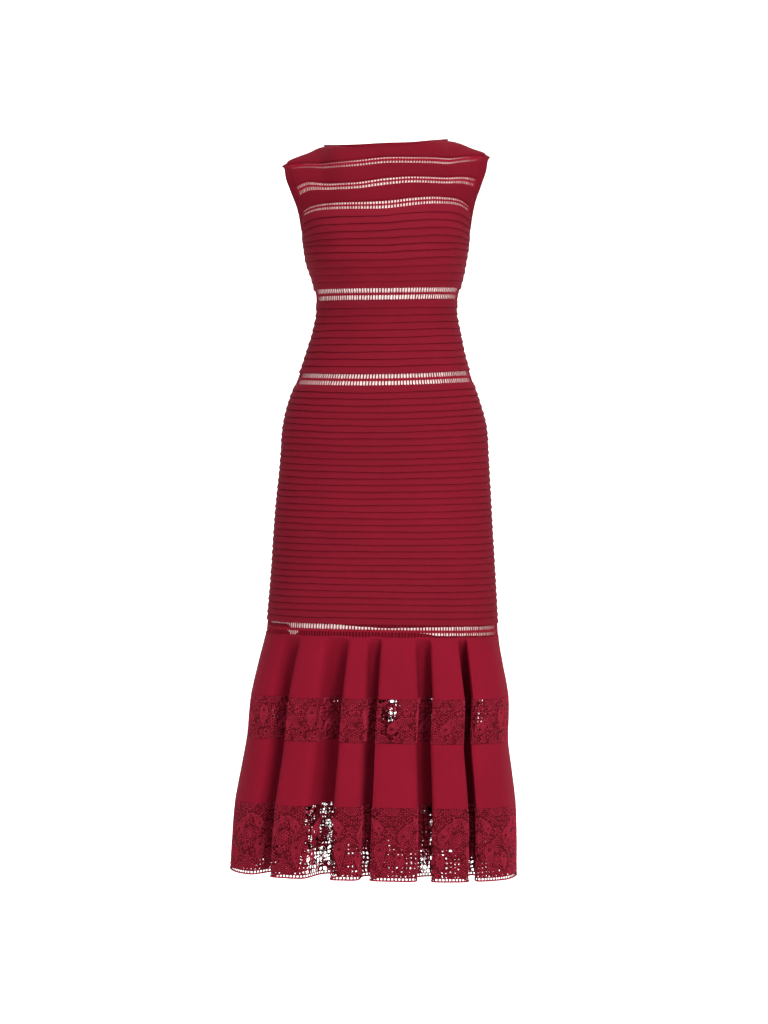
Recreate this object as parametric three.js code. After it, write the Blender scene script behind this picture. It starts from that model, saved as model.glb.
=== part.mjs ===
// A sleeveless boat-neck midi dress, hollow, as it stands when it is worn.
// Millimetres. +Z is up, the front faces -Y, and +X is the wearer's left.
// The origin lies midway between the two shoulder seams, where the wearer's shoulders carry the dress.
// The body is cut as bands across it: plain yoke bands and rows of pressed horizontal tucks, joined by six
// ladder trims. Below the knee trim hangs a flared flounce of two plain tiers and two lace tiers.
import * as THREE from "three";

const { clamp, degToRad, lerp, smoothstep } = THREE.MathUtils;

// ---------------------------------------------------------------- driving sizes

const CLOTH = 1.2; // wall of the body cloth
const FLOUNCE_CLOTH = 1.5; // wall of the flounce, centred on its form
const SEAM_GAP = 0.3; // clear space between sewn pieces
const TUCK_PROUD = 1.6; // how far the lower edge of a tuck stands off the cloth
const TUCK_STEP = 0.5; // height of the step under a tuck's edge
const SECTION_POWER = 2.2; // 2 is an ellipse, more is squarer

const UNDERARM_Z = -166; // lowest point of the armhole seam
const ARMHOLE_FRONT = 46; // how far the armhole seam swings forward
const ARMHOLE_BACK = 42;
const SHOULDER_Y = 5; // the shoulder seam lies this far behind the middle
const NECK_STATION = 0.426; // the neck point, where the shoulder seam meets the neck
const BINDING_WIDTH = 9; // armhole binding
const NECK_BINDING_HEIGHT = 5;
const BINDING_CLOTH = 1.5;

const LINING_CLOTH = 0.9;
const LINING_DROP = { yoke: 7, edge: 4.6, body: 5.5 }; // depth of the lining behind the outer face
const LINING_TOP = 0.78; // share of the yoke's height where the lining ends
const LINING_HEM_Z = -815;
const LINING_REACH = { side: 0.997, armhole: 0.82 }; // share of its last column's width that the lining fills

const CORD = 3; // side of the corded edge's section
const ARMHOLE_CLEAR = { low: 5.2, high: 1.1 }; // gap between the binding and the panels' edges
const ZIP = { foot: -470, head: -12, step: 25, tapeHalfWidth: 11, tape: 0.8, drop: 2.2 };
const SLIDER = { z: -6, width: 5, length: 9, thickness: 1.8, stand: 0.4 };
const TAB = { width: 4, length: 20, thickness: 1, stand: 0.4, hole: 1 };
const PIVOT_SHARE = 0.35; // the tab's pivot lies this share of the slider's length below its top

// Where the columns of a half body stand: 0 is the middle, 1 is the side seam or the armhole seam.
const STATIONS = [0, 0.28, NECK_STATION, 0.7, 1];

// ---------------------------------------------------------------- tables

// Sections of the body at the side, from underarm to knee.
const BODY = [
  { z: -166, halfWidth: 141, front: 118, back: 100, centreX: 0 },
  { z: -190, halfWidth: 137, front: 123, back: 96, centreX: 0 },
  { z: -220, halfWidth: 129, front: 115, back: 90, centreX: 2 },
  { z: -246, halfWidth: 122, front: 101, back: 86, centreX: 2 },
  { z: -272, halfWidth: 119.5, front: 92, back: 84, centreX: 1 },
  { z: -305, halfWidth: 125, front: 94, back: 88, centreX: 1 },
  { z: -345, halfWidth: 135, front: 99, back: 97, centreX: -1 },
  { z: -386, halfWidth: 148, front: 104, back: 109, centreX: -2 },
  { z: -430, halfWidth: 163.5, front: 107, back: 123, centreX: -3 },
  { z: -470, halfWidth: 173.5, front: 108, back: 130, centreX: -2 },
  { z: -530, halfWidth: 178, front: 108, back: 131, centreX: -2.5 },
  { z: -620, halfWidth: 185, front: 110, back: 126, centreX: -4.5 },
  { z: -720, halfWidth: 191.5, front: 113, back: 122, centreX: -5 },
  { z: -830, halfWidth: 199.5, front: 118, back: 124, centreX: -6.5 },
];

// Sections of the yoke by its share of the height from underarm to the top edge.
const YOKE = [
  { rise: 0, halfWidth: 141, front: 118, back: 100 },
  { rise: 0.12, halfWidth: 143.5, front: 117, back: 101 },
  { rise: 0.3, halfWidth: 150, front: 112, back: 100 },
  { rise: 0.5, halfWidth: 160, front: 102, back: 96 },
  { rise: 0.7, halfWidth: 171, front: 88, back: 86 },
  { rise: 0.85, halfWidth: 175, front: 74, back: 75 },
  { rise: 1, halfWidth: 169, front: 58, back: 62 },
];

// The top edge, from the right shoulder's tip along its seam, across the neck and out along the left seam.
const TOP_EDGE = [
  { station: -1, front: -22.5, back: -22.5 },
  { station: -0.7, front: -11.5, back: -11.5 },
  { station: -0.58, front: -5.3, back: -5.3 },
  { station: -NECK_STATION, front: 5.2, back: 5.2 },
  { station: -0.21, front: -1.6, back: 3.5 },
  { station: 0, front: 0.3, back: 4 },
  { station: 0.21, front: 3.8, back: 5 },
  { station: NECK_STATION, front: 14.8, back: 14.8 },
  { station: 0.7, front: 1.2, back: 1.2 },
  { station: 1, front: -7.2, back: -7.2 },
];

// Ladder trims of the yoke: height of the middle and half height, at even stations from right to left.
const YOKE_LADDERS = {
  front: [
    {
      name: "ladder_1",
      middle: [-30.5, -29, -31.3, -29, -23.9, -23.8, -24, -18, -15.5],
      half: [4.3, 5, 5.4, 6, 6, 6, 6.2, 5.8, 4.2],
    },
    {
      name: "ladder_2",
      middle: [-75.5, -66.5, -69, -67.8, -61.5, -58.1, -58.5, -56.5, -60.5],
      half: [9, 8.6, 6.2, 6.3, 6.6, 6.1, 6.1, 7, 8],
    },
    {
      name: "ladder_3",
      middle: [-114, -105, -102.6, -102.6, -101.5, -96, -92.8, -94.5, -107],
      half: [4.5, 5.8, 6.5, 6.8, 7.4, 7.2, 6.7, 6, 4.5],
    },
  ],
  back: [
    { name: "ladder_1", middle: [-32, -31, -29, -27, -27, -25, -18], half: [4.3, 5, 6, 6, 6, 5.5, 4.2] },
    { name: "ladder_2", middle: [-73, -69, -66, -63, -62, -61, -61], half: [8, 7, 6.2, 6.2, 6.2, 6.6, 7.5] },
    { name: "ladder_3", middle: [-113, -105, -103, -101, -99, -98, -106], half: [5, 6, 6.5, 7, 6.5, 6, 5] },
  ],
};

// Seams round the body: height at the sides, how much higher they run at the middle front and back, and how
// much lower the seam's left end lies than its middle.
const SEAMS = {
  bustLadderTop: { side: -237.2, front: -2.4, back: -1, tilt: -1.6 },
  bustLadderFoot: { side: -257.7, front: -2.4, back: -1, tilt: -1.6 },
  hipLadderTop: { side: -377.1, front: -5, back: -3, tilt: -2.2 },
  hipLadderFoot: { side: -397.1, front: -5, back: -3, tilt: -2.2 },
  kneeLadderTop: { side: -803, front: 3.1, back: 1, tilt: 3.1 },
  kneeLadderFoot: { side: -825, front: 3.1, back: 1, tilt: 3.1 },
  tierOneFoot: { side: -927, front: 5, back: 1, tilt: 2.6 },
  laceOneFoot: { side: -1002.5, front: 5.8, back: 2, tilt: 4.8 },
  tierTwoFoot: { side: -1110, front: 9.5, back: 3, tilt: 4.2 },
  hem: { side: -1229.5, front: 9.2, back: 3, tilt: 6 },
};

const TUCKS = { bodice: 11, midriff: 10, skirt: 36 };
const TUCKS_A_LINER_ROW = 1.5; // tucks to a row of points on the smooth inside of a tucked panel

// Sections of the flounce. fold is the share of each fold's full depth.
const FLOUNCE = [
  { z: -825, halfWidth: 199.2, front: 117.8, back: 124, centreX: -6.4, fold: 0 },
  { z: -845, halfWidth: 203.2, front: 120.3, back: 130, centreX: -7.2, fold: 0.36 },
  { z: -880, halfWidth: 210.5, front: 125, back: 142, centreX: -8.5, fold: 0.6 },
  { z: -933, halfWidth: 220.5, front: 131, back: 158, centreX: -10, fold: 0.8 },
  { z: -1008, halfWidth: 224, front: 136, back: 172, centreX: -14, fold: 0.86 },
  { z: -1060, halfWidth: 232, front: 141, back: 183, centreX: -15.5, fold: 0.9 },
  { z: -1117, halfWidth: 240.5, front: 146, back: 194, centreX: -17.5, fold: 0.94 },
  { z: -1236, halfWidth: 246, front: 152, back: 205, centreX: -21, fold: 1 },
];

// Folds of the flounce at the hem, by bearing in degrees: 0 is the wearer's left, 90 the back, 270 the front.
// Each face slopes away at its end into a hollow, which runs on under the start of the next face.
// valley is the depth of the hollow after the fold, and tuck the share of the face that the one before runs under.
const FOLDS = [
  { from: 4, to: 30, valley: 52, tuck: 0.4 },
  { from: 38, to: 58, valley: 57, tuck: 0.42 },
  { from: 66, to: 86, valley: 52, tuck: 0.42 },
  { from: 93, to: 116, valley: 60, tuck: 0.4 },
  { from: 123, to: 145, valley: 55, tuck: 0.42 },
  { from: 153, to: 179, valley: 39, tuck: 0.36 },
  { from: 187, to: 213.5, valley: 52, tuck: 0.36 },
  { from: 225.5, to: 242, valley: 55, tuck: 0.4 },
  { from: 253, to: 263.8, valley: 44, tuck: 0.38 },
  { from: 268.6, to: 286.5, valley: 49, tuck: 0.4 },
  { from: 293.2, to: 310.2, valley: 55, tuck: 0.42 },
  { from: 315, to: 354, valley: 39, tuck: 0.34 },
];
const SEAM_EASE = 2; // degrees that a fold's face gives to each hollow at the seam
const FACE_CROWN = 5; // how far the middle of a face stands proud at the hem
// A middle point of the slope into a hollow, as shares of the gap and of the hollow's depth.
const SLOPE = { reach: 0.42, depth: 0.8 };

// ---------------------------------------------------------------- finishes

const finish = (color, roughness, metalness = 0) =>
  new THREE.MeshStandardMaterial({ color, roughness, metalness, side: THREE.DoubleSide });

const FINISH = {
  tucked: finish(0x861a2c, 0.75),
  plain: finish(0x8e182c, 0.72),
  trim: finish(0x9a2438, 0.7),
  lace: finish(0xa02038, 0.7),
  lining: finish(0xfae8e4, 0.8),
  tape: finish(0x6e1020, 0.8),
  metal: finish(0x7a1828, 0.4, 0.5),
};

// ---------------------------------------------------------------- reading the tables

// The value of one column of a table at a place, on a smooth curve through its rows.
function track(rows, by, column, place) {
  const ascending = rows[rows.length - 1][by] > rows[0][by];
  const list = ascending ? rows : [...rows].reverse();
  const at = clamp(place, list[0][by], list[list.length - 1][by]);
  let i = 0;
  while (i < list.length - 2 && at > list[i + 1][by]) i += 1;
  const slope = (a, b) => (list[b][column] - list[a][column]) / (list[b][by] - list[a][by]);
  const here = slope(i, i + 1);
  const before = i > 0 ? slope(i - 1, i) : here;
  const after = i + 2 < list.length ? slope(i + 1, i + 2) : here;
  const span = list[i + 1][by] - list[i][by];
  const t = (at - list[i][by]) / span;
  const startSlope = before * here > 0 ? (before + here) / 2 : 0;
  const endSlope = after * here > 0 ? (after + here) / 2 : 0;
  const startTangent = (i > 0 ? startSlope : here) * span;
  const endTangent = (i + 2 < list.length ? endSlope : here) * span;
  const t2 = t * t;
  const t3 = t2 * t;
  return (
    (2 * t3 - 3 * t2 + 1) * list[i][column] +
    (t3 - 2 * t2 + t) * startTangent +
    (3 * t2 - 2 * t3) * list[i + 1][column] +
    (t3 - t2) * endTangent
  );
}

// A list of values at even stations from -1 to 1, read at station s on a smooth curve.
function across(values, s) {
  const rows = values.map((value, i) => ({ station: -1 + (2 * i) / (values.length - 1), value }));
  return track(rows, "station", "value", s);
}

const topEdge = (side, s) => track(TOP_EDGE, "station", side, s);

// ---------------------------------------------------------------- the form of the body

const QUARTER = Math.PI / 2;
const NECK_SHARE = Math.sin(NECK_STATION * QUARTER);

// Depth of a section at a share of its half width: 1 in the middle and 0 at its edge.
const arch = (share) => Math.pow(Math.max(0, 1 - Math.pow(Math.abs(share), SECTION_POWER)), 1 / SECTION_POWER);

const neckArch = (share) => Math.sqrt(Math.max(0, 1 - (share / NECK_SHARE) ** 2));

const riseAt = (side, s, z) => clamp((z - UNDERARM_Z) / (topEdge(side, s) - UNDERARM_Z), 0, 1);

// How far the armhole seam stands off the middle plane at a share of the yoke's height.
const armholeSwing = (side, rise) =>
  ({ front: ARMHOLE_FRONT, back: ARMHOLE_BACK })[side] * 2 * Math.sqrt(rise * (1 - rise));

// The share of the half width at which the armhole seam cuts a section of the yoke.
const armholeShare = (side, rise) => arch(armholeSwing(side, rise) / track(YOKE, "rise", side, rise));

// The body's outer face on one side, "front" or "back", at station s and height z.
function bodyPoint(side, s, z) {
  const away = side === "front" ? -1 : 1;
  if (z <= UNDERARM_Z) {
    const share = Math.sin(s * QUARTER);
    const x = track(BODY, "z", "centreX", z) + track(BODY, "z", "halfWidth", z) * share;
    return new THREE.Vector3(x, away * track(BODY, "z", side, z) * arch(share), z);
  }
  const rise = riseAt(side, s, z);
  const share = Math.sin(s * Math.asin(armholeShare(side, rise)));
  const depth = track(YOKE, "rise", side, rise);
  const seam = SHOULDER_Y * rise ** 2 + (away * SEAM_GAP) / 2;
  const chest = away * depth * arch(share) + seam;
  const shoulder = lerp(away * armholeSwing(side, rise) + seam, away * depth, neckArch(share));
  return new THREE.Vector3(track(YOKE, "rise", "halfWidth", rise) * share, lerp(chest, shoulder, rise ** 3), z);
}

// The outward direction of that face. The shoulder seam's own direction is straight up.
function bodyNormal(side, s, z) {
  const ds = 0.01;
  const dz = 1;
  const top = topEdge(side, s);
  const alongS = bodyPoint(side, Math.min(1, s + ds), z).sub(bodyPoint(side, Math.max(-1, s - ds), z));
  const high = Math.min(z + dz, top);
  const alongZ = bodyPoint(side, s, high).sub(bodyPoint(side, s, z - dz));
  const normal = alongS.cross(alongZ).normalize();
  const outward = bodyPoint(side, s, z).sub(new THREE.Vector3(0, 0, Math.min(z, -60)));
  if (normal.dot(outward) < 0) normal.negate();
  if (z <= UNDERARM_Z && Math.abs(s) > 0.99) return new THREE.Vector3(Math.sign(s), 0, 0);
  const onSeam = smoothstep(Math.abs(s), NECK_STATION - 0.12, NECK_STATION) * smoothstep(z, top - 6, top - 1);
  return normal.lerp(new THREE.Vector3(0, 0, 1), onSeam).normalize();
}

const faceAt = (side, s, z, out) => bodyPoint(side, s, z).addScaledVector(bodyNormal(side, s, z), out);

// Height of a seam round the body at station s, or at a bearing's share of the width.
function seamHeight(seam, side, share) {
  return seam.side + seam[side] * (1 - share ** 2) - seam.tilt * share;
}

const bodySeam = (seam) => (side, s) => seamHeight(seam, side, Math.sin(s * QUARTER));

// ---------------------------------------------------------------- closed meshes

// Collects triangles and gives them back as one closed geometry.
class Shell {
  constructor() {
    this.corners = [];
  }
  triangle(a, b, c) {
    if (a.distanceTo(b) < 1e-4 || b.distanceTo(c) < 1e-4 || c.distanceTo(a) < 1e-4) return;
    this.corners.push(...a, ...b, ...c);
  }
  quad(a, b, c, d) {
    this.triangle(a, b, c);
    this.triangle(a, c, d);
  }
  // Rows of points, each row from right to left and the rows going up.
  grid(rows, closed, flip) {
    for (let j = 0; j + 1 < rows.length; j += 1) {
      const n = rows[j].length;
      for (let i = 0; i < (closed ? n : n - 1); i += 1) {
        const k = (i + 1) % n;
        const [a, b, c, d] = [rows[j][i], rows[j][k], rows[j + 1][k], rows[j + 1][i]];
        if (flip) this.quad(a, d, c, b);
        else this.quad(a, b, c, d);
      }
    }
  }
  // The strip between two lines of points that may differ in number.
  stitch(first, second) {
    let i = 0;
    let j = 0;
    while (i < first.length - 1 || j < second.length - 1) {
      const nextFirst = i < first.length - 1 ? (i + 1) / (first.length - 1) : 2;
      const nextSecond = j < second.length - 1 ? (j + 1) / (second.length - 1) : 2;
      if (nextFirst <= nextSecond) {
        this.triangle(first[i], first[i + 1], second[j]);
        i += 1;
      } else {
        this.triangle(first[i], second[j + 1], second[j]);
        j += 1;
      }
    }
  }
  geometry() {
    const geometry = new THREE.BufferGeometry();
    geometry.setAttribute("position", new THREE.Float32BufferAttribute(this.corners, 3));
    geometry.computeVertexNormals();
    return geometry;
  }
}

// Turns a geometry's triangles round if its faces point inwards.
function facingOut(geometry) {
  const p = geometry.getAttribute("position");
  const [a, b, c] = [new THREE.Vector3(), new THREE.Vector3(), new THREE.Vector3()];
  let volume = 0;
  for (let i = 0; i < p.count; i += 3) {
    a.fromBufferAttribute(p, i);
    b.fromBufferAttribute(p, i + 1);
    c.fromBufferAttribute(p, i + 2);
    volume += a.dot(b.cross(c));
  }
  if (volume > 0) return geometry;
  for (let i = 0; i < p.count; i += 3) {
    b.fromBufferAttribute(p, i + 1);
    c.fromBufferAttribute(p, i + 2);
    p.setXYZ(i + 1, c.x, c.y, c.z);
    p.setXYZ(i + 2, b.x, b.y, b.z);
  }
  geometry.computeVertexNormals();
  return geometry;
}

// A cloth wall between an outer and an inner grid of points. closed joins its last column to its first.
function clothWall(outer, inner, closed) {
  const shell = new Shell();
  shell.grid(outer, closed, false);
  shell.grid(inner, closed, true);
  const rim = (row) => (closed ? [...row, row[0]] : row);
  const last = (list) => list[list.length - 1];
  shell.stitch(rim(inner[0]), rim(outer[0]));
  shell.stitch(rim(last(outer)), rim(last(inner)));
  if (!closed) {
    shell.stitch(outer.map((row) => row[0]), inner.map((row) => row[0]));
    shell.stitch(inner.map(last), outer.map(last));
  }
  return facingOut(shell.geometry());
}

// A band with a four-sided section that runs round a closed loop.
function loopBand(loop) {
  const rings = [0, 1, 2, 3, 0].map((corner) => loop.map((section) => section[corner]));
  const shell = new Shell();
  shell.grid(rings, true, false);
  return facingOut(shell.geometry());
}

// ---------------------------------------------------------------- pieces of the body

const SIDES = [
  { name: "front", side: "front", from: -1, to: 1 },
  { name: "back_right", side: "back", from: -1, to: 0 },
  { name: "back_left", side: "back", from: 0, to: 1 },
];

const BOTH_HALVES = [...STATIONS.slice(1).map((s) => -s).reverse(), ...STATIONS];

// The columns of a panel, kept half a seam gap clear of its neighbours.
function stations(panel) {
  const columns = BOTH_HALVES.filter((s) => s >= panel.from && s <= panel.to);
  const middleGap = 0.0012;
  const sideGap = 0.0008;
  return columns.map((s) => {
    if (Math.abs(s) === 1) return s * (1 - sideGap);
    return panel.side === "back" && s === 0 ? (panel.from === 0 ? middleGap : -middleGap) : s;
  });
}

// Heights of a panel's lower and upper seam at each of its columns.
function seamLines(panel, foot, head) {
  const below = head === topEdge ? 0 : SEAM_GAP / 2;
  return stations(panel).map((s) => ({
    s,
    low: foot(panel.side, s) + SEAM_GAP / 2,
    high: head(panel.side, s) - below,
  }));
}

const panelRow = (panel, lines, share, out, drop = 0) =>
  lines.map(({ s, low, high }) => faceAt(panel.side, s, lerp(low, high, share) - drop, out));

const evenShares = (count) => Array.from({ length: count + 1 }, (_, i) => i / count);

// A plain band or ladder trim between two seams.
function plainPanel(panel, foot, head, rows) {
  const lines = seamLines(panel, foot, head);
  const outer = evenShares(rows).map((share) => panelRow(panel, lines, share, 0));
  const inner = evenShares(rows).map((share) => panelRow(panel, lines, share, -CLOTH));
  return clothWall(outer, inner, false);
}

// A panel of pressed tucks: each swells to its lower edge and steps back under it.
function tuckedPanel(panel, foot, head, tucks) {
  const lines = seamLines(panel, foot, head);
  const outer = [];
  for (let k = 0; k < tucks; k += 1) {
    const share = k / tucks;
    if (k > 0) outer.push(panelRow(panel, lines, share, 0, TUCK_STEP));
    outer.push(panelRow(panel, lines, share, TUCK_PROUD));
  }
  outer.push(panelRow(panel, lines, 1, 0));
  const inner = evenShares(Math.ceil(tucks / TUCKS_A_LINER_ROW)).map((share) => panelRow(panel, lines, share, -CLOTH));
  return clothWall(outer, inner, false);
}

// The seams of one side from the top edge down, each a height by station.
function sideSeams(side) {
  const [one, two, three] = YOKE_LADDERS[side];
  const edge = (ladder, sign) => (_, s) => across(ladder.middle, s) + sign * across(ladder.half, s);
  return {
    top: topEdge,
    ladderOneTop: edge(one, 1),
    ladderOneFoot: edge(one, -1),
    ladderTwoTop: edge(two, 1),
    ladderTwoFoot: edge(two, -1),
    ladderThreeTop: edge(three, 1),
    ladderThreeFoot: edge(three, -1),
    bustLadderTop: bodySeam(SEAMS.bustLadderTop),
    bustLadderFoot: bodySeam(SEAMS.bustLadderFoot),
    hipLadderTop: bodySeam(SEAMS.hipLadderTop),
    hipLadderFoot: bodySeam(SEAMS.hipLadderFoot),
    kneeLadderTop: bodySeam(SEAMS.kneeLadderTop),
    kneeLadderFoot: bodySeam(SEAMS.kneeLadderFoot),
  };
}

const LADDER_ROWS = 1;
const BAND_ROWS = 2;

// The twelve pieces of one panel, as [name, foot, head, kind, rows or tucks].
const PIECES = [
  ["neck_band", "ladderOneTop", "top", "plain", BAND_ROWS],
  ["ladder_1", "ladderOneFoot", "ladderOneTop", "ladder", LADDER_ROWS],
  ["yoke_band_1", "ladderTwoTop", "ladderOneFoot", "plain", BAND_ROWS],
  ["ladder_2", "ladderTwoFoot", "ladderTwoTop", "ladder", LADDER_ROWS],
  ["yoke_band_2", "ladderThreeTop", "ladderTwoFoot", "plain", BAND_ROWS],
  ["ladder_3", "ladderThreeFoot", "ladderThreeTop", "ladder", LADDER_ROWS],
  ["bodice", "bustLadderTop", "ladderThreeFoot", "tucked", TUCKS.bodice],
  ["ladder_4", "bustLadderFoot", "bustLadderTop", "ladder", LADDER_ROWS],
  ["midriff", "hipLadderTop", "bustLadderFoot", "tucked", TUCKS.midriff],
  ["ladder_5", "hipLadderFoot", "hipLadderTop", "ladder", LADDER_ROWS],
  ["skirt", "kneeLadderTop", "hipLadderFoot", "tucked", TUCKS.skirt],
  ["ladder_6", "kneeLadderFoot", "kneeLadderTop", "ladder", LADDER_ROWS],
];

function bodyPieces(panel) {
  const seams = sideSeams(panel.side);
  return PIECES.map(([name, foot, head, kind, rows]) => {
    const build = kind === "tucked" ? tuckedPanel : plainPanel;
    const material = { plain: FINISH.plain, ladder: FINISH.trim, tucked: FINISH.tucked }[kind];
    return piece(`${panel.name}_${name}`, build(panel, seams[foot], seams[head], rows), material);
  });
}

// ---------------------------------------------------------------- lining, bindings

// Rows of the lining from its hem up to the underarm, then by share of the yoke's height.
const LINING_LEVELS = [LINING_HEM_Z, -700, -590, -490, -440, -395, -340, -290, -255, -225, -200, -184];
const LINING_RISES = [0.005, 0.05, 0.12, 0.22, 0.4, 0.58, 0.68, LINING_TOP];

function liningPanel(side) {
  const lift = { front: 9, back: 6 }[side];
  const hemWave = (s, z) => (z === LINING_HEM_Z ? lift * Math.cos(s * QUARTER) : 0);
  const levels = LINING_LEVELS.map((z) => ({
    height: (s) => z + hemWave(s, z),
    drop: LINING_DROP.body,
    reach: LINING_REACH.side,
  }));
  const rises = LINING_RISES.map((rise) => ({
    height: (s) => lerp(UNDERARM_Z, topEdge(side, s), rise),
    drop: LINING_DROP.yoke,
    reach: LINING_REACH.armhole,
  }));
  const beside = STATIONS[STATIONS.length - 2];
  const wall = (extra) =>
    [...levels, ...rises].map(({ height, drop, reach }) =>
      BOTH_HALVES.map((s) => {
        const within = faceAt(side, clamp(s, -beside, beside), height(clamp(s, -beside, beside)), -drop - extra);
        if (Math.abs(s) <= beside) return within;
        return within.lerp(faceAt(side, s, height(s), -LINING_DROP.edge - extra), reach);
      }),
    );
  return clothWall(wall(0), wall(LINING_CLOTH), false);
}

// One four-cornered section of a binding: from point, along width and through its thickness.
function bindingSection(start, along, width, normal, thick) {
  const inner = start.clone().addScaledVector(normal, -thick);
  return [
    start.clone(),
    start.clone().addScaledVector(along, width),
    inner.clone().addScaledVector(along, width),
    inner,
  ];
}

// The binding of one armhole. hand is 1 for the wearer's left and -1 for the right.
function armholeBinding(hand) {
  const rises = [0.012, 0.06, 0.16, 0.32, 0.5, 0.68, 0.84, 0.95];
  const sectionAt = (side, rise) => {
    const z = lerp(UNDERARM_Z, topEdge(side, hand), rise);
    const point = bodyPoint(side, hand, z);
    const normal = bodyNormal(side, hand, z);
    const outwards = point.clone().sub(bodyPoint(side, hand * 0.98, z)).normalize();
    const round = smoothstep(rise, 0.02, 0.3);
    const along = new THREE.Vector3(0, 0, 1).lerp(outwards, round);
    along.addScaledVector(normal, -along.dot(normal)).normalize();
    const clear = lerp(ARMHOLE_CLEAR.low, ARMHOLE_CLEAR.high, round);
    return bindingSection(point.addScaledVector(along, clear), along, BINDING_WIDTH, normal, BINDING_CLOTH);
  };
  const seamSection = (z, along, normal) => {
    const point = bodyPoint("front", hand, z).addScaledVector(along, ARMHOLE_CLEAR.high);
    return bindingSection(point, along, BINDING_WIDTH, normal, BINDING_CLOTH);
  };
  const up = new THREE.Vector3(0, 0, 1);
  const sideways = new THREE.Vector3(hand, 0, 0);
  const tip = topEdge("front", hand);
  return loopBand([
    seamSection(UNDERARM_Z, up, sideways),
    ...rises.map((rise) => sectionAt("front", rise)),
    seamSection(tip, new THREE.Vector3(hand * 0.87, 0, -0.5), new THREE.Vector3(hand * 0.5, 0, 0.87)),
    ...[...rises].reverse().map((rise) => sectionAt("back", rise)),
  ]);
}

// The binding of the neck, standing on the top edge of the neck bands.
function neckBinding() {
  const alongNeck = BOTH_HALVES.filter((s) => Math.abs(s) <= NECK_STATION);
  const sectionAt = (side, s) => {
    const z = topEdge(side, s);
    const point = bodyPoint(side, s, z);
    const normal = bodyNormal(side, s, z - 6);
    if (Math.abs(s) === NECK_STATION) normal.add(bodyNormal("back", s, z - 6)); // it faces sideways there
    const along = point.clone().sub(bodyPoint(side, s, z - 3)).normalize();
    along.lerp(new THREE.Vector3(0, 0, 1), 0.5).normalize();
    normal.addScaledVector(along, -along.dot(normal)).normalize();
    return bindingSection(point.addScaledVector(along, 3 * SEAM_GAP), along, NECK_BINDING_HEIGHT, normal, BINDING_CLOTH);
  };
  const acrossBack = alongNeck.slice(1, -1).reverse(); // the neck points are in the front half already
  return loopBand([...alongNeck.map((s) => sectionAt("front", s)), ...acrossBack.map((s) => sectionAt("back", s))]);
}

// ---------------------------------------------------------------- zip

// A frame on the middle of the back: x across, y down the cloth, z away from it.
function backFrame(z, out) {
  const point = faceAt("back", 0, z, out);
  const normal = bodyNormal("back", 0, z);
  const down = bodyPoint("back", 0, z - 10).sub(bodyPoint("back", 0, z));
  down.addScaledVector(normal, -down.dot(normal)).normalize();
  const sideways = new THREE.Vector3().crossVectors(down, normal).normalize();
  return new THREE.Matrix4().makeBasis(sideways, down, normal).setPosition(point);
}

// The zip's tape, flat behind the seam of the two back halves. Its rows follow the panels' first column.
function zipTape() {
  const station = STATIONS[1];
  const count = Math.round((ZIP.head - ZIP.foot) / ZIP.step);
  const heights = evenShares(count).map((share) => lerp(ZIP.foot, ZIP.head, share));
  const row = (z, drop) => {
    const middle = faceAt("back", 0, z, -drop);
    return [-station, 0, station].map((s) => {
      const aside = faceAt("back", s, z, -drop);
      const share = s === 0 ? 0 : ZIP.tapeHalfWidth / aside.distanceTo(middle);
      return middle.clone().lerp(aside, share);
    });
  };
  return clothWall(heights.map((z) => row(z, ZIP.drop)), heights.map((z) => row(z, ZIP.drop + ZIP.tape)), false);
}

// A flat plate from its top at y = 0 down to y = length, with round corners at its foot and, if asked, its top.
function plate({ width, length, thickness }, roundTop, hole) {
  const r = width / 2;
  const shape = new THREE.Shape();
  if (roundTop) {
    shape.absarc(0, r, r, Math.PI, 2 * Math.PI, false);
  } else {
    shape.moveTo(-r, 0);
    shape.lineTo(r, 0);
  }
  shape.absarc(0, length - r, r, 0, Math.PI, false);
  shape.closePath();
  if (hole) {
    const eye = new THREE.Path();
    eye.absarc(0, length - r, hole, 0, 2 * Math.PI, true);
    shape.holes.push(eye);
  }
  return new THREE.ExtrudeGeometry(shape, { depth: thickness, bevelEnabled: false, curveSegments: 6 });
}

const zipSlider = () => plate(SLIDER, true, 0).applyMatrix4(backFrame(SLIDER.z, SLIDER.stand));

// The tab hangs over the slider. Its pivot is half its thickness from its square top end.
function zipPullTab() {
  const lift = SLIDER.stand + SLIDER.thickness + TAB.stand;
  const down = SLIDER.length * PIVOT_SHARE - TAB.thickness / 2;
  return plate(TAB, false, TAB.hole).translate(0, down, 0).applyMatrix4(backFrame(SLIDER.z, lift));
}

// ---------------------------------------------------------------- flounce

// A point of the flounce's form at the height of a section, at a bearing, set out or in from its face.
function flouncePoint(sectionZ, bearing, out) {
  const a = degToRad(bearing);
  const share = Math.cos(a);
  const side = Math.sin(a) < 0 ? "front" : "back";
  const halfWidth = track(FLOUNCE, "z", "halfWidth", sectionZ);
  const depth = track(FLOUNCE, "z", side, sectionZ);
  const y = Math.sign(Math.sin(a)) * depth * arch(share);
  const normal = new THREE.Vector2(share / halfWidth, y / depth ** 2).normalize();
  const x = track(FLOUNCE, "z", "centreX", sectionZ) + halfWidth * share;
  return new THREE.Vector2(x, y).addScaledVector(normal, out);
}

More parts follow.
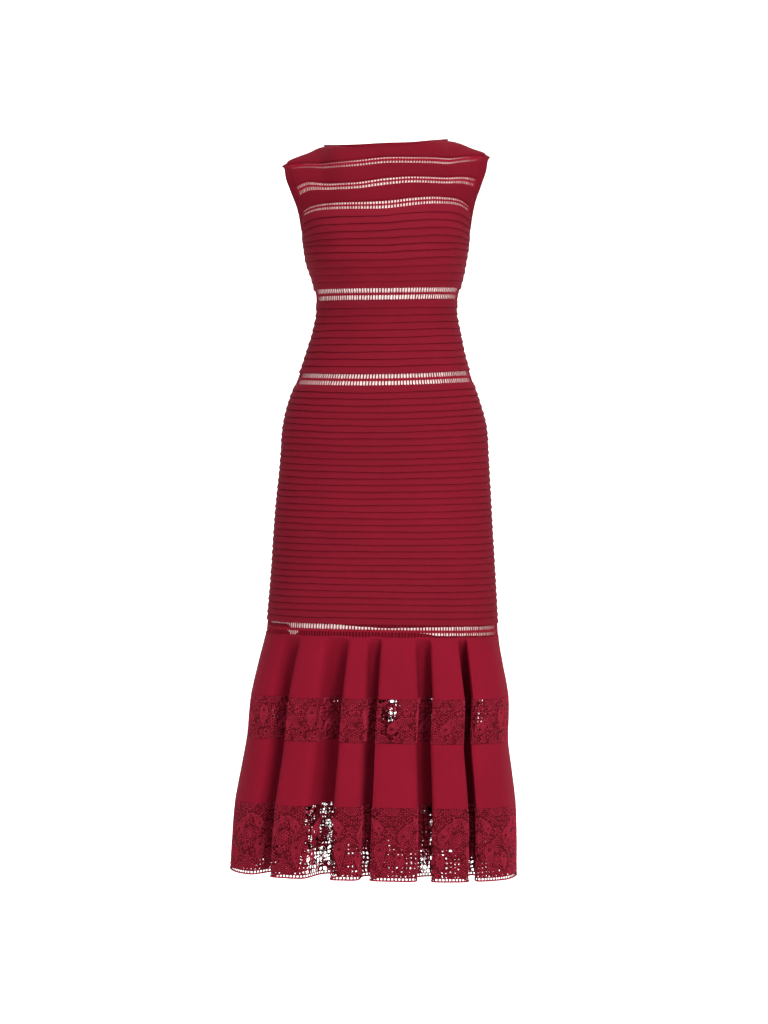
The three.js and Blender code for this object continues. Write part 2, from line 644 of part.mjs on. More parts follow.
// The five points of each fold, all round, at a section's height: the face's two edges and crown, a point of
// the slope into the hollow, and the hollow's end, which runs under the next face as the fold deepens.
function foldRing(sectionZ) {
  const fold = track(FLOUNCE, "z", "fold", sectionZ);
  const ring = [];
  FOLDS.forEach((here, i) => {
    const next = FOLDS[(i + 1) % FOLDS.length];
    const nextFrom = next.from + (next.from < here.to ? 360 : 0);
    const gap = nextFrom - here.to + 2 * SEAM_EASE;
    const nextWidth = next.to - next.from;
    const deep = -here.valley;
    const places = [
      { seam: here.from + SEAM_EASE, hem: here.from, out: 0 },
      { seam: (here.from + here.to) / 2, hem: (here.from + here.to) / 2, out: FACE_CROWN },
      { seam: here.to - SEAM_EASE, hem: here.to, out: 0 },
      { seam: here.to - SEAM_EASE + gap / 3, hem: lerp(here.to, nextFrom, SLOPE.reach), out: SLOPE.depth * deep },
      { seam: nextFrom + SEAM_EASE - gap / 3, hem: nextFrom + next.tuck * nextWidth, out: deep },
    ];
    places.forEach(({ seam, hem, out }) => {
      const bearing = lerp(seam, hem, fold);
      ring.push({ bearing, point: flouncePoint(sectionZ, bearing, out * fold) });
    });
  });
  return ring;
}

// That ring at the height of a seam, as points moved out from its line by half the wall or less.
function flounceRow(seam, out, shift) {
  const ring = foldRing(seam.side);
  return ring.map(({ bearing, point }, i) => {
    const before = ring[(i + ring.length - 1) % ring.length].point;
    const after = ring[(i + 1) % ring.length].point;
    const into = point.clone().sub(before).normalize();
    const onward = after.clone().sub(point).normalize();
    const normal = new THREE.Vector2(into.y + onward.y, -into.x - onward.x).normalize();
    const half = Math.max(0.45, normal.dot(new THREE.Vector2(into.y, -into.x)));
    const moved = point.clone().addScaledVector(normal, out / half);
    const side = Math.sin(degToRad(bearing)) < 0 ? "front" : "back";
    const z = seamHeight(seam, side, Math.cos(degToRad(bearing))) + shift;
    return new THREE.Vector3(moved.x, moved.y, z);
  });
}

function flounceTier(head, foot) {
  const gap = SEAM_GAP / 2;
  const wall = (out) => [flounceRow(foot, out, gap), flounceRow(head, out, -gap)];
  return clothWall(wall(FLOUNCE_CLOTH / 2), wall(-FLOUNCE_CLOTH / 2), true);
}

function hemCord() {
  const top = -SEAM_GAP / 2;
  const rings = [
    flounceRow(SEAMS.hem, CORD / 2, top),
    flounceRow(SEAMS.hem, -CORD / 2, top),
    flounceRow(SEAMS.hem, -CORD / 2, top - CORD),
    flounceRow(SEAMS.hem, CORD / 2, top - CORD),
  ];
  return loopBand(rings[0].map((_, i) => rings.map((ring) => ring[i])));
}

// ---------------------------------------------------------------- the dress

function piece(name, geometry, material) {
  const mesh = new THREE.Mesh(geometry, material);
  mesh.name = name;
  return mesh;
}

const dress = new THREE.Group();
SIDES.forEach((panel) => dress.add(...bodyPieces(panel)));
dress.add(
  piece("flounce_tier_1", flounceTier(SEAMS.kneeLadderFoot, SEAMS.tierOneFoot), FINISH.plain),
  piece("flounce_lace_1", flounceTier(SEAMS.tierOneFoot, SEAMS.laceOneFoot), FINISH.lace),
  piece("flounce_tier_2", flounceTier(SEAMS.laceOneFoot, SEAMS.tierTwoFoot), FINISH.plain),
  piece("flounce_lace_2", flounceTier(SEAMS.tierTwoFoot, SEAMS.hem), FINISH.lace),
  piece("hem_cord", hemCord(), FINISH.trim),
  piece("neck_binding", neckBinding(), FINISH.plain),
  piece("armhole_binding_left", armholeBinding(1), FINISH.plain),
  piece("armhole_binding_right", armholeBinding(-1), FINISH.plain),
  piece("lining_front", liningPanel("front"), FINISH.lining),
  piece("lining_back", liningPanel("back"), FINISH.lining),
  piece("zip_tape", zipTape(), FINISH.tape),
  piece("zip_slider", zipSlider(), FINISH.metal),
  piece("zip_pull_tab", zipPullTab(), FINISH.metal),
);

export default dress;
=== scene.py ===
"""The look of a sleeveless midi dress in tucked crepe, ladder trim and lace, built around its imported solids.

The dress stands filled out with no wearer. Sizes are millimetres in the makers' classes
and metres in the scene.
+Z is up, the front faces -Y and +X is the wearer's left. A cloth is laid on the form of the solid that it
replaces: a patch gives a point of that form for a place across and up the piece and a lift off the form.
"""

import sys
import logging
import math
from dataclasses import dataclass, field, replace
from enum import Enum
from typing import Any, Callable, Iterable

import bpy
import numpy as np
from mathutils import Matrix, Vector


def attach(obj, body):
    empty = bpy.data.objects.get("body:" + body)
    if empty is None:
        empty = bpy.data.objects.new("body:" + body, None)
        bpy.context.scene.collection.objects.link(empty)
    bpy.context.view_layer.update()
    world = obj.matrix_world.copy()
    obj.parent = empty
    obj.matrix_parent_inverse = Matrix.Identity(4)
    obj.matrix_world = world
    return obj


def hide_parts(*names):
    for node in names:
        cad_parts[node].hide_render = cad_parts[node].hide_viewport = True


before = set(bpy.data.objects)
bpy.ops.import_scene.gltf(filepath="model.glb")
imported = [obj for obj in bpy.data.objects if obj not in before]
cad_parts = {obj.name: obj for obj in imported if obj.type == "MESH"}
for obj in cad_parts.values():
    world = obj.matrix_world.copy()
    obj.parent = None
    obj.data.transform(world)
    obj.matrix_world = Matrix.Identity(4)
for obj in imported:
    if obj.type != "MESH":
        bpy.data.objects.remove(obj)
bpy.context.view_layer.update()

MM = 0.001
DRESS = "dress"
PULL_TAB = "pull_tab"
QUARTER = math.pi / 2

Array = np.ndarray
Colour = tuple[float, float, float]
Rows = tuple[tuple[float, ...], ...]

log = logging.getLogger("dress")


class Side(Enum):
    """Which half of the body a cloth covers."""

    FRONT = "front"
    BACK = "back"

    @property
    def away(self) -> int:
        """The sign of Y on this side."""
        return -1 if self is Side.FRONT else 1


# ---------------------------------------------------------------- reading tables


def track(places: Iterable[float], values: Iterable[float], at: Array) -> Array:
    """Reads a smooth curve through a table's rows.

    Args:
        places: where the rows stand, ascending.
        values: the rows' values.
        at: the places to read, held inside the table.

    Returns:
        The values there, with no overshoot between rows.
    """
    x, y = np.asarray(places, float), np.asarray(values, float)
    at = np.clip(at, x[0], x[-1])
    last = len(x) - 2
    i = np.clip(np.searchsorted(x, at, side="right") - 1, 0, last)
    span = np.diff(x)
    slope = np.diff(y) / span
    here, before, after = slope[i], slope[np.maximum(i - 1, 0)], slope[np.minimum(i + 1, last)]
    start = np.where(before * here > 0, (before + here) / 2, 0)
    end = np.where(after * here > 0, (after + here) / 2, 0)
    start = np.where(i > 0, start, here) * span[i]
    end = np.where(i < last, end, here) * span[i]
    t = (at - x[i]) / span[i]
    t2, t3 = t**2, t**3
    return (
        (2 * t3 - 3 * t2 + 1) * y[i]
        + (t3 - 2 * t2 + t) * start
        + (3 * t2 - 2 * t3) * y[i + 1]
        + (t3 - t2) * end
    )


def column(rows: Rows, place: int, value: int, at: Array) -> Array:
    """Reads one column of a table of rows against another on a smooth curve.

    Args:
        rows: the table.
        place: the column that holds the places.
        value: the column that holds the values.
        at: the places to read.

    Returns:
        The values there.
    """
    ordered = sorted(rows, key=lambda row: row[place])
    return track([row[place] for row in ordered], [row[value] for row in ordered], at)


def spread(values: tuple[float, ...], s: Array) -> Array:
    """Reads values that stand at even stations from -1 to 1."""
    return track(np.linspace(-1, 1, len(values)), values, s)


def lerp(a: Any, b: Any, t: Any) -> Any:
    """The value a share t of the way from a to b."""
    return a + (b - a) * t


def ramp(x: Array, low: float, high: float) -> Array:
    """A smooth step from 0 at low to 1 at high."""
    t = np.clip((x - low) / (high - low), 0, 1)
    return t * t * (3 - 2 * t)


def unit(vectors: Array) -> Array:
    """The vectors at length 1."""
    return vectors / np.maximum(np.linalg.norm(vectors, axis=-1, keepdims=True), 1e-9)


def across_each(a: Array, b: Array) -> Array:
    """The dot product of two arrays of vectors, kept as a last axis of 1."""
    return (a * b).sum(-1, keepdims=True)


class Wander:
    """A smooth uneven wave along a line, the same each time it is made from the same seed."""

    def __init__(self, seed: int, waves: tuple[float, ...] = (1.1, 2.3, 4.1, 7.7)) -> None:
        """Draws the phases and sizes of the waves."""
        draw = np.random.default_rng(seed)
        self.waves = waves
        self.phases = draw.uniform(0, 2 * math.pi, len(waves))
        self.sizes = draw.uniform(0.5, 1, len(waves)) / np.sqrt(np.arange(1, len(waves) + 1))
        self.sizes /= self.sizes.sum()

    def __call__(self, u: Array) -> Array:
        """The wave's height, from about -1 to 1, at a share u of the line."""
        terms = zip(self.waves, self.phases, self.sizes)
        return sum(size * np.sin(2 * math.pi * wave * u + phase) for wave, phase, size in terms)


# ---------------------------------------------------------------- the form of the body


@dataclass(frozen=True)
class Seam:
    """A seam round the body.

    It has a height at the sides, and runs higher at the middle of each side. Its left end
    lies lower by the tilt.
    """

    at_side: float
    front: float
    back: float
    tilt: float

    def height(self, side: Side, share: Array) -> Array:
        """The seam's height at a share of the half width."""
        rise = self.front if side is Side.FRONT else self.back
        return self.at_side + rise * (1 - share**2) - self.tilt * share


@dataclass(frozen=True)
class Ladder:
    """A ladder trim across the yoke: its middle's height and its half height, from right to left."""

    middle: tuple[float, ...]
    half: tuple[float, ...]

    def edge(self, s: Array, sign: int) -> Array:
        """The height of its upper edge, sign 1, or its lower edge, sign -1, at station s."""
        return spread(self.middle, s) + sign * spread(self.half, s)


@dataclass(frozen=True)
class BodyForm:
    """The form of the dress from the shoulders to the knee."""

    underarm: float = -166
    section_power: float = 2.2
    neck_power: float = 1.28
    shoulder_y: float = 5
    neck_station: float = 0.426
    swing: dict[Side, float] = field(default_factory=lambda: {Side.FRONT: 46, Side.BACK: 42})
    # height, half width, depth of the front, depth of the back, middle
    sections: Rows = (
        (-166, 141, 118, 100, 0),
        (-190, 137, 123, 96, 0),
        (-220, 129, 115, 90, 2),
        (-246, 122, 101, 86, 2),
        (-272, 119.5, 92, 84, 1),
        (-305, 125, 94, 88, 1),
        (-345, 135, 99, 97, -1),
        (-386, 148, 104, 109, -2),
        (-430, 163.5, 107, 123, -3),
        (-470, 173.5, 108, 130, -2),
        (-530, 178, 108, 131, -2.5),
        (-620, 185, 110, 126, -4.5),
        (-720, 191.5, 113, 122, -5),
        (-830, 199.5, 118, 124, -6.5),
    )
    # share of the yoke's height, half width, depth of the front, depth of the back
    yoke: Rows = (
        (0, 141, 118, 100),
        (0.12, 143.5, 117, 101),
        (0.3, 150, 112, 100),
        (0.5, 160, 102, 96),
        (0.7, 171, 88, 86),
        (0.85, 175, 74, 75),
        (1, 169, 58, 62),
    )
    # station, height of the top edge at the front, at the back
    top_edge: Rows = (
        (-1, -22.5, -22.5),
        (-0.7, -11.5, -11.5),
        (-0.58, -5.3, -5.3),
        (-0.426, 5.2, 5.2),
        (-0.21, -1.6, 3.5),
        (0, 0.3, 4),
        (0.21, 3.8, 5),
        (0.426, 14.8, 14.8),
        (0.7, 1.2, 1.2),
        (1, -7.2, -7.2),
    )

    def top(self, side: Side, s: Array) -> Array:
        """The height of the top edge at station s."""
        return column(self.top_edge, 0, 1 if side is Side.FRONT else 2, s)

    def arch(self, share: Array) -> Array:
        """Depth of a section at a share of its half width: 1 in the middle and 0 at its edge."""
        return np.maximum(0, 1 - np.abs(share) ** self.section_power) ** (1 / self.section_power)

    def swing_at(self, side: Side, rise: Array) -> Array:
        """How far the armhole seam stands off the middle plane at a share of the yoke's height."""
        return self.swing[side] * 2 * np.sqrt(rise * (1 - rise))

    def point(self, side: Side, s: Array, z: Array) -> Array:
        """Finds points of the outer face.

        Args:
            side: front or back.
            s: stations, 0 in the middle and 1 or -1 at the side seam or the armhole seam.
            z: heights.

        Returns:
            The points, with x, y and z on the last axis.
        """
        s, z = np.broadcast_arrays(np.asarray(s, float), np.asarray(z, float))
        depth_column = 2 if side is Side.FRONT else 3
        share = np.sin(s * QUARTER)
        low_x = column(self.sections, 0, 4, z) + column(self.sections, 0, 1, z) * share
        low_y = side.away * column(self.sections, 0, depth_column, z) * self.arch(share)
        rise = np.clip((z - self.underarm) / (self.top(side, s) - self.underarm), 0, 1)
        depth = column(self.yoke, 0, depth_column, rise)
        swing = self.swing_at(side, rise)
        share = np.sin(s * np.arcsin(self.arch(swing / depth)))
        seam = self.shoulder_y * rise**2
        neck_share = math.sin(self.neck_station * QUARTER)
        neck_arch = np.maximum(0, 1 - (share / neck_share) ** 4) ** self.neck_power
        chest = side.away * depth * self.arch(share) + seam
        shoulder = lerp(side.away * swing + seam, side.away * depth, neck_arch)
        high_x = column(self.yoke, 0, 1, rise) * share
        high_y = lerp(chest, shoulder, rise**3)
        below = z <= self.underarm
        return np.stack([np.where(below, low_x, high_x), np.where(below, low_y, high_y), z], -1)

    def normal(self, side: Side, s: Array, z: Array) -> Array:
        """The outward direction of the face at stations s and heights z."""
        ds, dz = 0.01, 1.0
        high = np.minimum(z + dz, self.top(side, s))
        along_s = self.point(side, np.minimum(1, s + ds), z) - self.point(side, np.maximum(-1, s - ds), z)
        along_z = self.point(side, s, high) - self.point(side, s, z - dz)
        found = unit(np.cross(along_s, along_z))
        outward = self.point(side, s, z) - np.stack([0 * s, 0 * s, np.minimum(z, -60.0)], -1)
        return np.where(across_each(found, outward) < 0, -found, found)


# ---------------------------------------------------------------- patches of cloth


@dataclass
class Patch:
    """A stretch of a form, as rows of points that go up and run from right to left or all round."""

    points: Array
    around: bool = False
    outward: int = 1

    def __post_init__(self) -> None:
        """Finds the outward direction at each point."""
        p = self.points
        if self.around:
            along = np.roll(p, -1, axis=1) - np.roll(p, 1, axis=1)
        else:
            along = np.gradient(p, axis=1)
        self.normals = unit(np.cross(along, np.gradient(p, axis=0))) * self.outward
        self.heights = np.linalg.norm(np.diff(p, axis=0), axis=2).sum(0)
        steps = np.diff(np.concatenate([p, p[:, :1]], axis=1) if self.around else p, axis=1)
        self.widths = np.linalg.norm(steps, axis=2).sum(1)

    @property
    def width(self) -> float:
        """The mean length across."""
        return float(self.widths.mean())

    @property
    def height(self) -> float:
        """The mean length up."""
        return float(self.heights.mean())

    def columns(self, count: int) -> Array:
        """Even places across, without the last one where the patch runs all round."""
        return np.linspace(0, 1, count, endpoint=not self.around)

    def height_at(self, u: Array) -> Array:
        """The length up at places across."""
        count = len(self.heights)
        if self.around:
            closed = np.append(self.heights, self.heights[0])
            return np.interp(np.mod(u, 1) * count, np.arange(count + 1), closed)
        return np.interp(u * (count - 1), np.arange(count), self.heights)

    def place(self, u: Array, v: Array, lift: Array = 0.0) -> Array:
        """Finds points by their place on the patch.

        Args:
            u: shares of the way across.
            v: shares of the way up; it may run a little past 0 and 1.
            lift: how far the points stand off the form.

        Returns:
            The points, with x, y and z on the last axis.
        """
        point, normal = self.look(u, v)
        return point + normal * np.broadcast_to(lift, point.shape[:-1])[..., None]

    def look(self, u: Array, v: Array) -> tuple[Array, Array]:
        """The form's points and outward directions at shares across and up."""
        u, v = np.broadcast_arrays(np.asarray(u, float), np.asarray(v, float))
        rows, cols = self.points.shape[:2]
        x = np.mod(u, 1) * cols if self.around else u * (cols - 1)
        y = v * (rows - 1)
        i = np.clip(np.floor(x).astype(int), 0, cols - (1 if self.around else 2))
        j = np.clip(np.floor(y).astype(int), 0, rows - 2)
        k = (i + 1) % cols
        fx, fy = (x - i)[..., None], (y - j)[..., None]
        found = []
        for grid in (self.points, self.normals):
            low = lerp(grid[j, i], grid[j, k], fx)
            high = lerp(grid[j + 1, i], grid[j + 1, k], fx)
            found.append(lerp(low, high, fy))
        return found[0], unit(found[1])


class MeshMaker:
    """Gathers points and faces in millimetres and makes one object of them."""

    def __init__(self) -> None:
        """Starts with no points and no faces."""
        self.points: list[Array] = []
        self.faces: list[tuple[Array, int]] = []
        self.count = 0

    def add(self, points: Array, faces: Array, finish: int = 0) -> None:
        """Adds points, and faces that number those points from 0, in one finish."""
        points = np.asarray(points, float).reshape(-1, 3)
        self.points.append(points)
        self.faces.append((np.asarray(faces, np.int64) + self.count, finish))
        self.count += len(points)

    def add_faces(self, faces: Array, finish: int) -> None:
        """Adds faces on points that are already there."""
        self.faces.append((np.asarray(faces, np.int64), finish))

    def sheet(
        self,
        outer: Array,
        inner: Array,
        steps: list[int] | None = None,
        around: bool = False,
        flip: bool = False,
        finish: int = 0,
        painted_shade_rows: Iterable[int] = (),
    ) -> None:
        """Adds a closed thin cloth between an outer and an inner grid of points.

        Args:
            outer: rows, columns and x, y, z of the outer face.
            inner: the same columns of the inner face, with fewer rows where steps is given.
            steps: the outer row at which each inner row lies.
            around: whether the last column joins the first.
            flip: whether the grids run so that their faces must be turned round.
            finish: the material slot.
            painted_shade_rows: the outer rows above which the cloth takes the next slot, a darker copy painted
                as shade, up to the row after.
        """
        steps = steps or list(range(len(outer)))
        cols = outer.shape[1]
        first = self.count
        outside = np.arange(outer.shape[0] * cols).reshape(-1, cols) + first
        inside = np.arange(inner.shape[0] * cols).reshape(-1, cols) + first + outside.size
        self.points += [outer.reshape(-1, 3), inner.reshape(-1, 3)]
        self.count += outside.size + inside.size
        if around:
            outside = np.concatenate([outside, outside[:, :1]], axis=1)
            inside = np.concatenate([inside, inside[:, :1]], axis=1)
        # the faces above the listed rows take the next slot, a darker crepe painted in as shade
        painted_shade = np.isin(np.arange(len(outside) - 1), list(painted_shade_rows))
        faces = quads(outside).reshape(len(outside) - 1, -1, 4)
        if painted_shade.any():
            hidden = faces[painted_shade].reshape(-1, 4)
            self.add_faces(hidden[:, ::-1] if flip else hidden, finish + 1)
        found = [
            faces[~painted_shade].reshape(-1, 4),
            quads(inside)[:, ::-1],
            np.stack([outside[0, :-1], inside[0, :-1], inside[0, 1:], outside[0, 1:]], 1),
            np.stack([outside[-1, 1:], inside[-1, 1:], inside[-1, :-1], outside[-1, :-1]], 1),
        ]
        if not around:
            for j in range(len(steps) - 1):
                rows = slice(steps[j], steps[j + 1] + 1)
                right = [*outside[rows, 0], inside[j + 1, 0], inside[j, 0]]
                left = [*outside[rows, -1], inside[j + 1, -1], inside[j, -1]]
                found += [np.array([right]), np.array([left[::-1]])]
        for faces in found:
            self.add_faces(faces[:, ::-1] if flip else faces, finish)

    def tube(self, rings: Array, closed: bool = False, flip: bool = False, finish: int = 0) -> None:
        """Adds a solid swept through rings of points.

        Args:
            rings: rings, points of a ring and x, y, z.
            closed: whether the last ring joins the first; otherwise both ends are capped.
            flip: whether its faces must be turned round.
            finish: the material slot.
        """
        count, sides = rings.shape[:2]
        index = np.arange(count * sides).reshape(count, sides)
        loop = np.concatenate([index, index[:, :1]], axis=1)
        if closed:
            loop = np.concatenate([loop, loop[:1]], axis=0)
        first = self.count
        walls = quads(loop)
        self.add(rings, walls[:, ::-1] if flip else walls, finish)
        if not closed:
            ends = np.stack([index[0][::-1], index[-1]]) + first
            self.add_faces(ends[:, ::-1] if flip else ends, finish)

    def tubes(self, rings: Array, finish: int = 0) -> None:
        """Adds many capped solids at once, as solids, rings, points of a ring and x, y, z."""
        solids, count, sides = rings.shape[:3]
        index = np.arange(count * sides).reshape(count, sides)
        loop = np.concatenate([index, index[:, :1]], axis=1)
        shift = (np.arange(solids) * count * sides)[:, None, None]
        first = self.count
        walls = (quads(loop)[None] + shift).reshape(-1, 4)
        self.add(rings, walls, finish)
        ends = np.stack([index[0][::-1], index[-1]])
        self.add_faces((ends[None] + shift).reshape(-1, sides) + first, finish)

    def threads(
        self,
        paths: Array,
        normals: Array,
        width: Any,
        height: Any,
        finish: int = 0,
        section: Rows = ((-0.5, 0.0), (0.0, 1.0), (0.5, 0.0)),
    ) -> None:
        """Adds threads, each swept along its own line.

        Args:
            paths: threads, points of a thread and x, y, z.
            normals: the outward direction at each point.
            width: the width, one for all or one for each point.
            height: the height, in the same way.
            finish: the material slot.
            section: the section's points, across and outwards, for a width and a height of 1.
        """
        aside = unit(np.cross(unit(np.gradient(paths, axis=1)), normals))
        wide = np.broadcast_to(np.asarray(width, float), paths.shape[:2])[..., None]
        high = np.broadcast_to(np.asarray(height, float), paths.shape[:2])[..., None]
        rings = [paths + aside * wide * across + normals * high * out for across, out in section]
        self.tubes(np.stack(rings, 2), finish)

    def stitches(self, line: Array, normals: Array, pitch: float, finish: int, closed: bool = True) -> None:
        """Adds a row of short stitches along a line.

        Args:
            line: points of the line.
            normals: the outward direction at each.
            pitch: the distance from one stitch to the next.
            finish: the material slot.
            closed: whether the line joins its start.
        """
        if closed:
            line, normals = np.concatenate([line, line[:1]]), np.concatenate([normals, normals[:1]])
        along = np.concatenate([[0], np.cumsum(np.linalg.norm(np.diff(line, axis=0), axis=1))])
        count = max(2, int(along[-1] / pitch))
        at = (np.arange(count)[:, None] + np.array([0.14, 0.5, 0.86])) * along[-1] / count
        path = np.stack([np.interp(at, along, line[:, axis]) for axis in range(3)], -1)
        out = unit(np.stack([np.interp(at, along, normals[:, axis]) for axis in range(3)], -1))
        path = path + out * np.array([-0.15, 0.1, -0.15])[:, None]
        self.threads(path, out, 0.55, 0.35, finish, HEXAGON)

    def build(self, name: str, materials: list[bpy.types.Material], sharp: float = 55) -> bpy.types.Object:
        """Makes the object.

        Args:
            name: its name.
            materials: its material slots.
            sharp: edges that turn more than this many degrees are shaded sharp.

        Returns:
            The object, at the origin, in metres.
        """
        mesh = bpy.data.meshes.new(name)
        points = np.concatenate(self.points) * MM
        mesh.vertices.add(len(points))
        mesh.vertices.foreach_set("co", points.ravel())
        sizes = np.concatenate([np.full(len(faces), faces.shape[1]) for faces, _ in self.faces])
        corners = np.concatenate([faces.ravel() for faces, _ in self.faces])
        finishes = np.concatenate([np.full(len(faces), finish) for faces, finish in self.faces])
        mesh.loops.add(len(corners))
        mesh.loops.foreach_set("vertex_index", corners)
        mesh.polygons.add(len(sizes))
        mesh.polygons.foreach_set("loop_start", np.concatenate([[0], np.cumsum(sizes)[:-1]]))
        mesh.polygons.foreach_set("material_index", finishes)
        mesh.polygons.foreach_set("use_smooth", np.ones(len(sizes), bool))
        for material in materials:
            mesh.materials.append(material)
        mesh.update(calc_edges=True)
        mesh.validate()
        mesh.set_sharp_from_angle(angle=math.radians(sharp))
        made = bpy.data.objects.new(name, mesh)
        bpy.context.scene.collection.objects.link(made)
        return made


HEXAGON: Rows = ((-0.5, 0.0), (-0.28, 0.5), (0.28, 0.5), (0.5, 0.0), (0.28, -0.5), (-0.28, -0.5))


def quads(index: Array) -> Array:
    """The four-cornered faces of a grid of point numbers."""
    return np.stack([index[:-1, :-1], index[:-1, 1:], index[1:, 1:], index[1:, :-1]], -1).reshape(-1, 4)


# ---------------------------------------------------------------- shader maths


class Value:
    """A shader value in an expression: its operators add Math nodes."""

    def __init__(self, shader: "Shader", socket: bpy.types.NodeSocket) -> None:
        """Wraps an output socket."""
        self.shader = shader
        self.socket = socket

    def math(self, operation: str, *others: "Value | float") -> "Value":
        """A Math node on this value and others."""
        inputs = dict(enumerate((self, *others)))
        return self.shader.value("ShaderNodeMath", {"operation": operation}, inputs)

    def __add__(self, other: "Value | float") -> "Value":
        """This value plus another."""
        return self.math("ADD", other)

    __radd__ = __add__

    def __sub__(self, other: "Value | float") -> "Value":
        """This value less another."""
        return self.math("SUBTRACT", other)

    def __rsub__(self, other: float) -> "Value":
        """A number less this value."""
        return self.math("MULTIPLY", -1.0).math("ADD", other)

    def __mul__(self, other: "Value | float") -> "Value":
        """This value times another."""
        return self.math("MULTIPLY", other)

    __rmul__ = __mul__

    def clamp(self) -> "Value":
        """This value held from 0 to 1."""
        return self.shader.value("ShaderNodeClamp", {}, {"Value": self})


class Shader:
    """One material's nodes."""

    def __init__(self, name: str) -> None:
        """Starts a material with its principled surface."""
        self.material = bpy.data.materials.new(name)
        self.material.use_nodes = True
        self.tree = self.material.node_tree
        self.surface = self.tree.nodes["Principled BSDF"]

    def node(self, kind: str, settings: dict[str, Any], inputs: dict[Any, Any]) -> bpy.types.Node:
        """Adds a node.

        Args:
            kind: the node's type.
            settings: its properties, or a ramp's "stops" as places and colours.
            inputs: a value or a Value for each socket, by name or number.

        Returns:
            The node.
        """
        made = self.tree.nodes.new(kind)
        for name, setting in settings.items():
            if name == "stops":
                self.set_stops(made, setting)
            else:
                setattr(made, name, setting)
        for name, value in inputs.items():
            self.feed(made.inputs[name], value)
        return made

    def set_stops(self, made: bpy.types.Node, stops: list[tuple[float, Any]]) -> None:
        """Sets the stops of a colour ramp."""
        ramp_of = made.color_ramp
        while len(ramp_of.elements) < len(stops):
            ramp_of.elements.new(0.5)
        for element, (place, colour) in zip(ramp_of.elements, stops):
            element.position = place
            element.color = (*colour, 1) if hasattr(colour, "__len__") else (colour, colour, colour, 1)

    def feed(self, socket: bpy.types.NodeSocket, value: Any) -> None:
        """Links a Value to a socket, or sets the socket's own number or colour."""
        if isinstance(value, Value):
            self.tree.links.new(value.socket, socket)
        elif hasattr(value, "__len__") and len(value) == 3 and socket.type == "RGBA":
            socket.default_value = (*value, 1)
        else:
            socket.default_value = value

    def value(self, kind: str, settings: dict[str, Any], inputs: dict[Any, Any], out: Any = 0) -> Value:
        """Adds a node and gives one of its outputs."""
        return Value(self, self.node(kind, settings, inputs).outputs[out])

    def place(self, scale: tuple[float, float, float] = (1, 1, 1)) -> Value:
        """The surface's own place in metres, stretched by a scale for each axis."""
        at = self.value("ShaderNodeTexCoord", {}, {}, "Object")
        return self.value("ShaderNodeMapping", {}, {"Vector": at, "Scale": scale})

    def noise(self, place: Value, scale: float, detail: float = 2, roughness: float = 0.5) -> Value:
        """Soft noise from 0 to 1 at a scale in waves a metre."""
        inputs = {"Vector": place, "Scale": scale, "Detail": detail, "Roughness": roughness}
        return self.value("ShaderNodeTexNoise", {}, inputs, 0)

    def blend(self, share: Any, low: Any, high: Any) -> Value:
        """A colour the given share of the way from low to high."""
        return self.value("ShaderNodeMix", {"data_type": "RGBA"}, {0: share, 6: low, 7: high}, 2)

    def bump(self, height: Value, distance: float, strength: float = 1) -> Value:
        """A surface direction that follows a height."""
        inputs = {"Height": height, "Distance": distance, "Strength": strength}
        return self.value("ShaderNodeBump", {}, inputs)

    def dress(self, **inputs: Any) -> bpy.types.Material:
        """Feeds the principled surface, its sockets named with _ for a space, and gives the material."""
        for name, value in inputs.items():
            self.feed(self.surface.inputs[name.replace("_", " ")], value)
        return self.material


# ---------------------------------------------------------------- finishes


@dataclass(frozen=True)
class Crepe:
    """A matt crepe: fine crossed grain, faint mottling of its dye."""

    name: str
    colour: Colour
    shade: float = 0.72
    roughness: float = 0.86
    sheen: float = 0.015
    grain: float = 1500
    depth: float = 0.00018

    def material(self) -> bpy.types.Material:
        """Makes the material."""
        shader = Shader(self.name)
        place = shader.place()
        weft = shader.noise(shader.place((0.35, 0.35, 1)), self.grain, 2, 0.6)
        warp = shader.noise(shader.place((1, 1, 0.3)), self.grain * 0.8, 2, 0.6)
        grain = weft * 0.55 + warp * 0.45
        cloud = shader.noise(place, 14, 3, 0.55)
        wear = shader.noise(place, 120, 2, 0.5)
        mask = (cloud * 0.5 + wear * 0.2 + grain * 0.5 - 0.1).clamp()
        dark = tuple(part * self.shade for part in self.colour)
        light = tuple(min(1, part * (2 - self.shade)) for part in self.colour)
        return shader.dress(
            Base_Color=shader.blend(mask, dark, light),
            Roughness=(cloud * 0.12 + (self.roughness - 0.06)).clamp(),
            Normal=shader.bump(grain, self.depth),
            Sheen_Weight=self.sheen,
            Sheen_Roughness=0.45,
            Sheen_Tint=(0.8, 0.15, 0.25),
            Specular_IOR_Level=0.06,
        )


@dataclass(frozen=True)
class Cord:
    """Twisted thread: a fine slanted ply and uneven dye."""

    name: str
    colour: Colour
    tip: Colour
    roughness: float = 0.8
    ply: float = 900
    depth: float = 0.0003

    def material(self) -> bpy.types.Material:
        """Makes the material."""
        shader = Shader(self.name)
        place = shader.place()
        wave = shader.value(
            "ShaderNodeTexWave",
            {"wave_type": "BANDS", "bands_direction": "DIAGONAL"},
            {"Vector": place, "Scale": self.ply / 6, "Distortion": 2.5, "Detail": 1},
            1,
        )
        fleck = shader.noise(place, 260, 2, 0.6)
        mask = (fleck * 0.9 + wave * 0.35 - 0.2).clamp()
        return shader.dress(
            Base_Color=shader.blend(mask, self.colour, self.tip),
            Roughness=(fleck * 0.2 + (self.roughness - 0.1)).clamp(),
            Normal=shader.bump(wave * 0.6 + fleck * 0.4, self.depth),
            Specular_IOR_Level=0.08,
        )


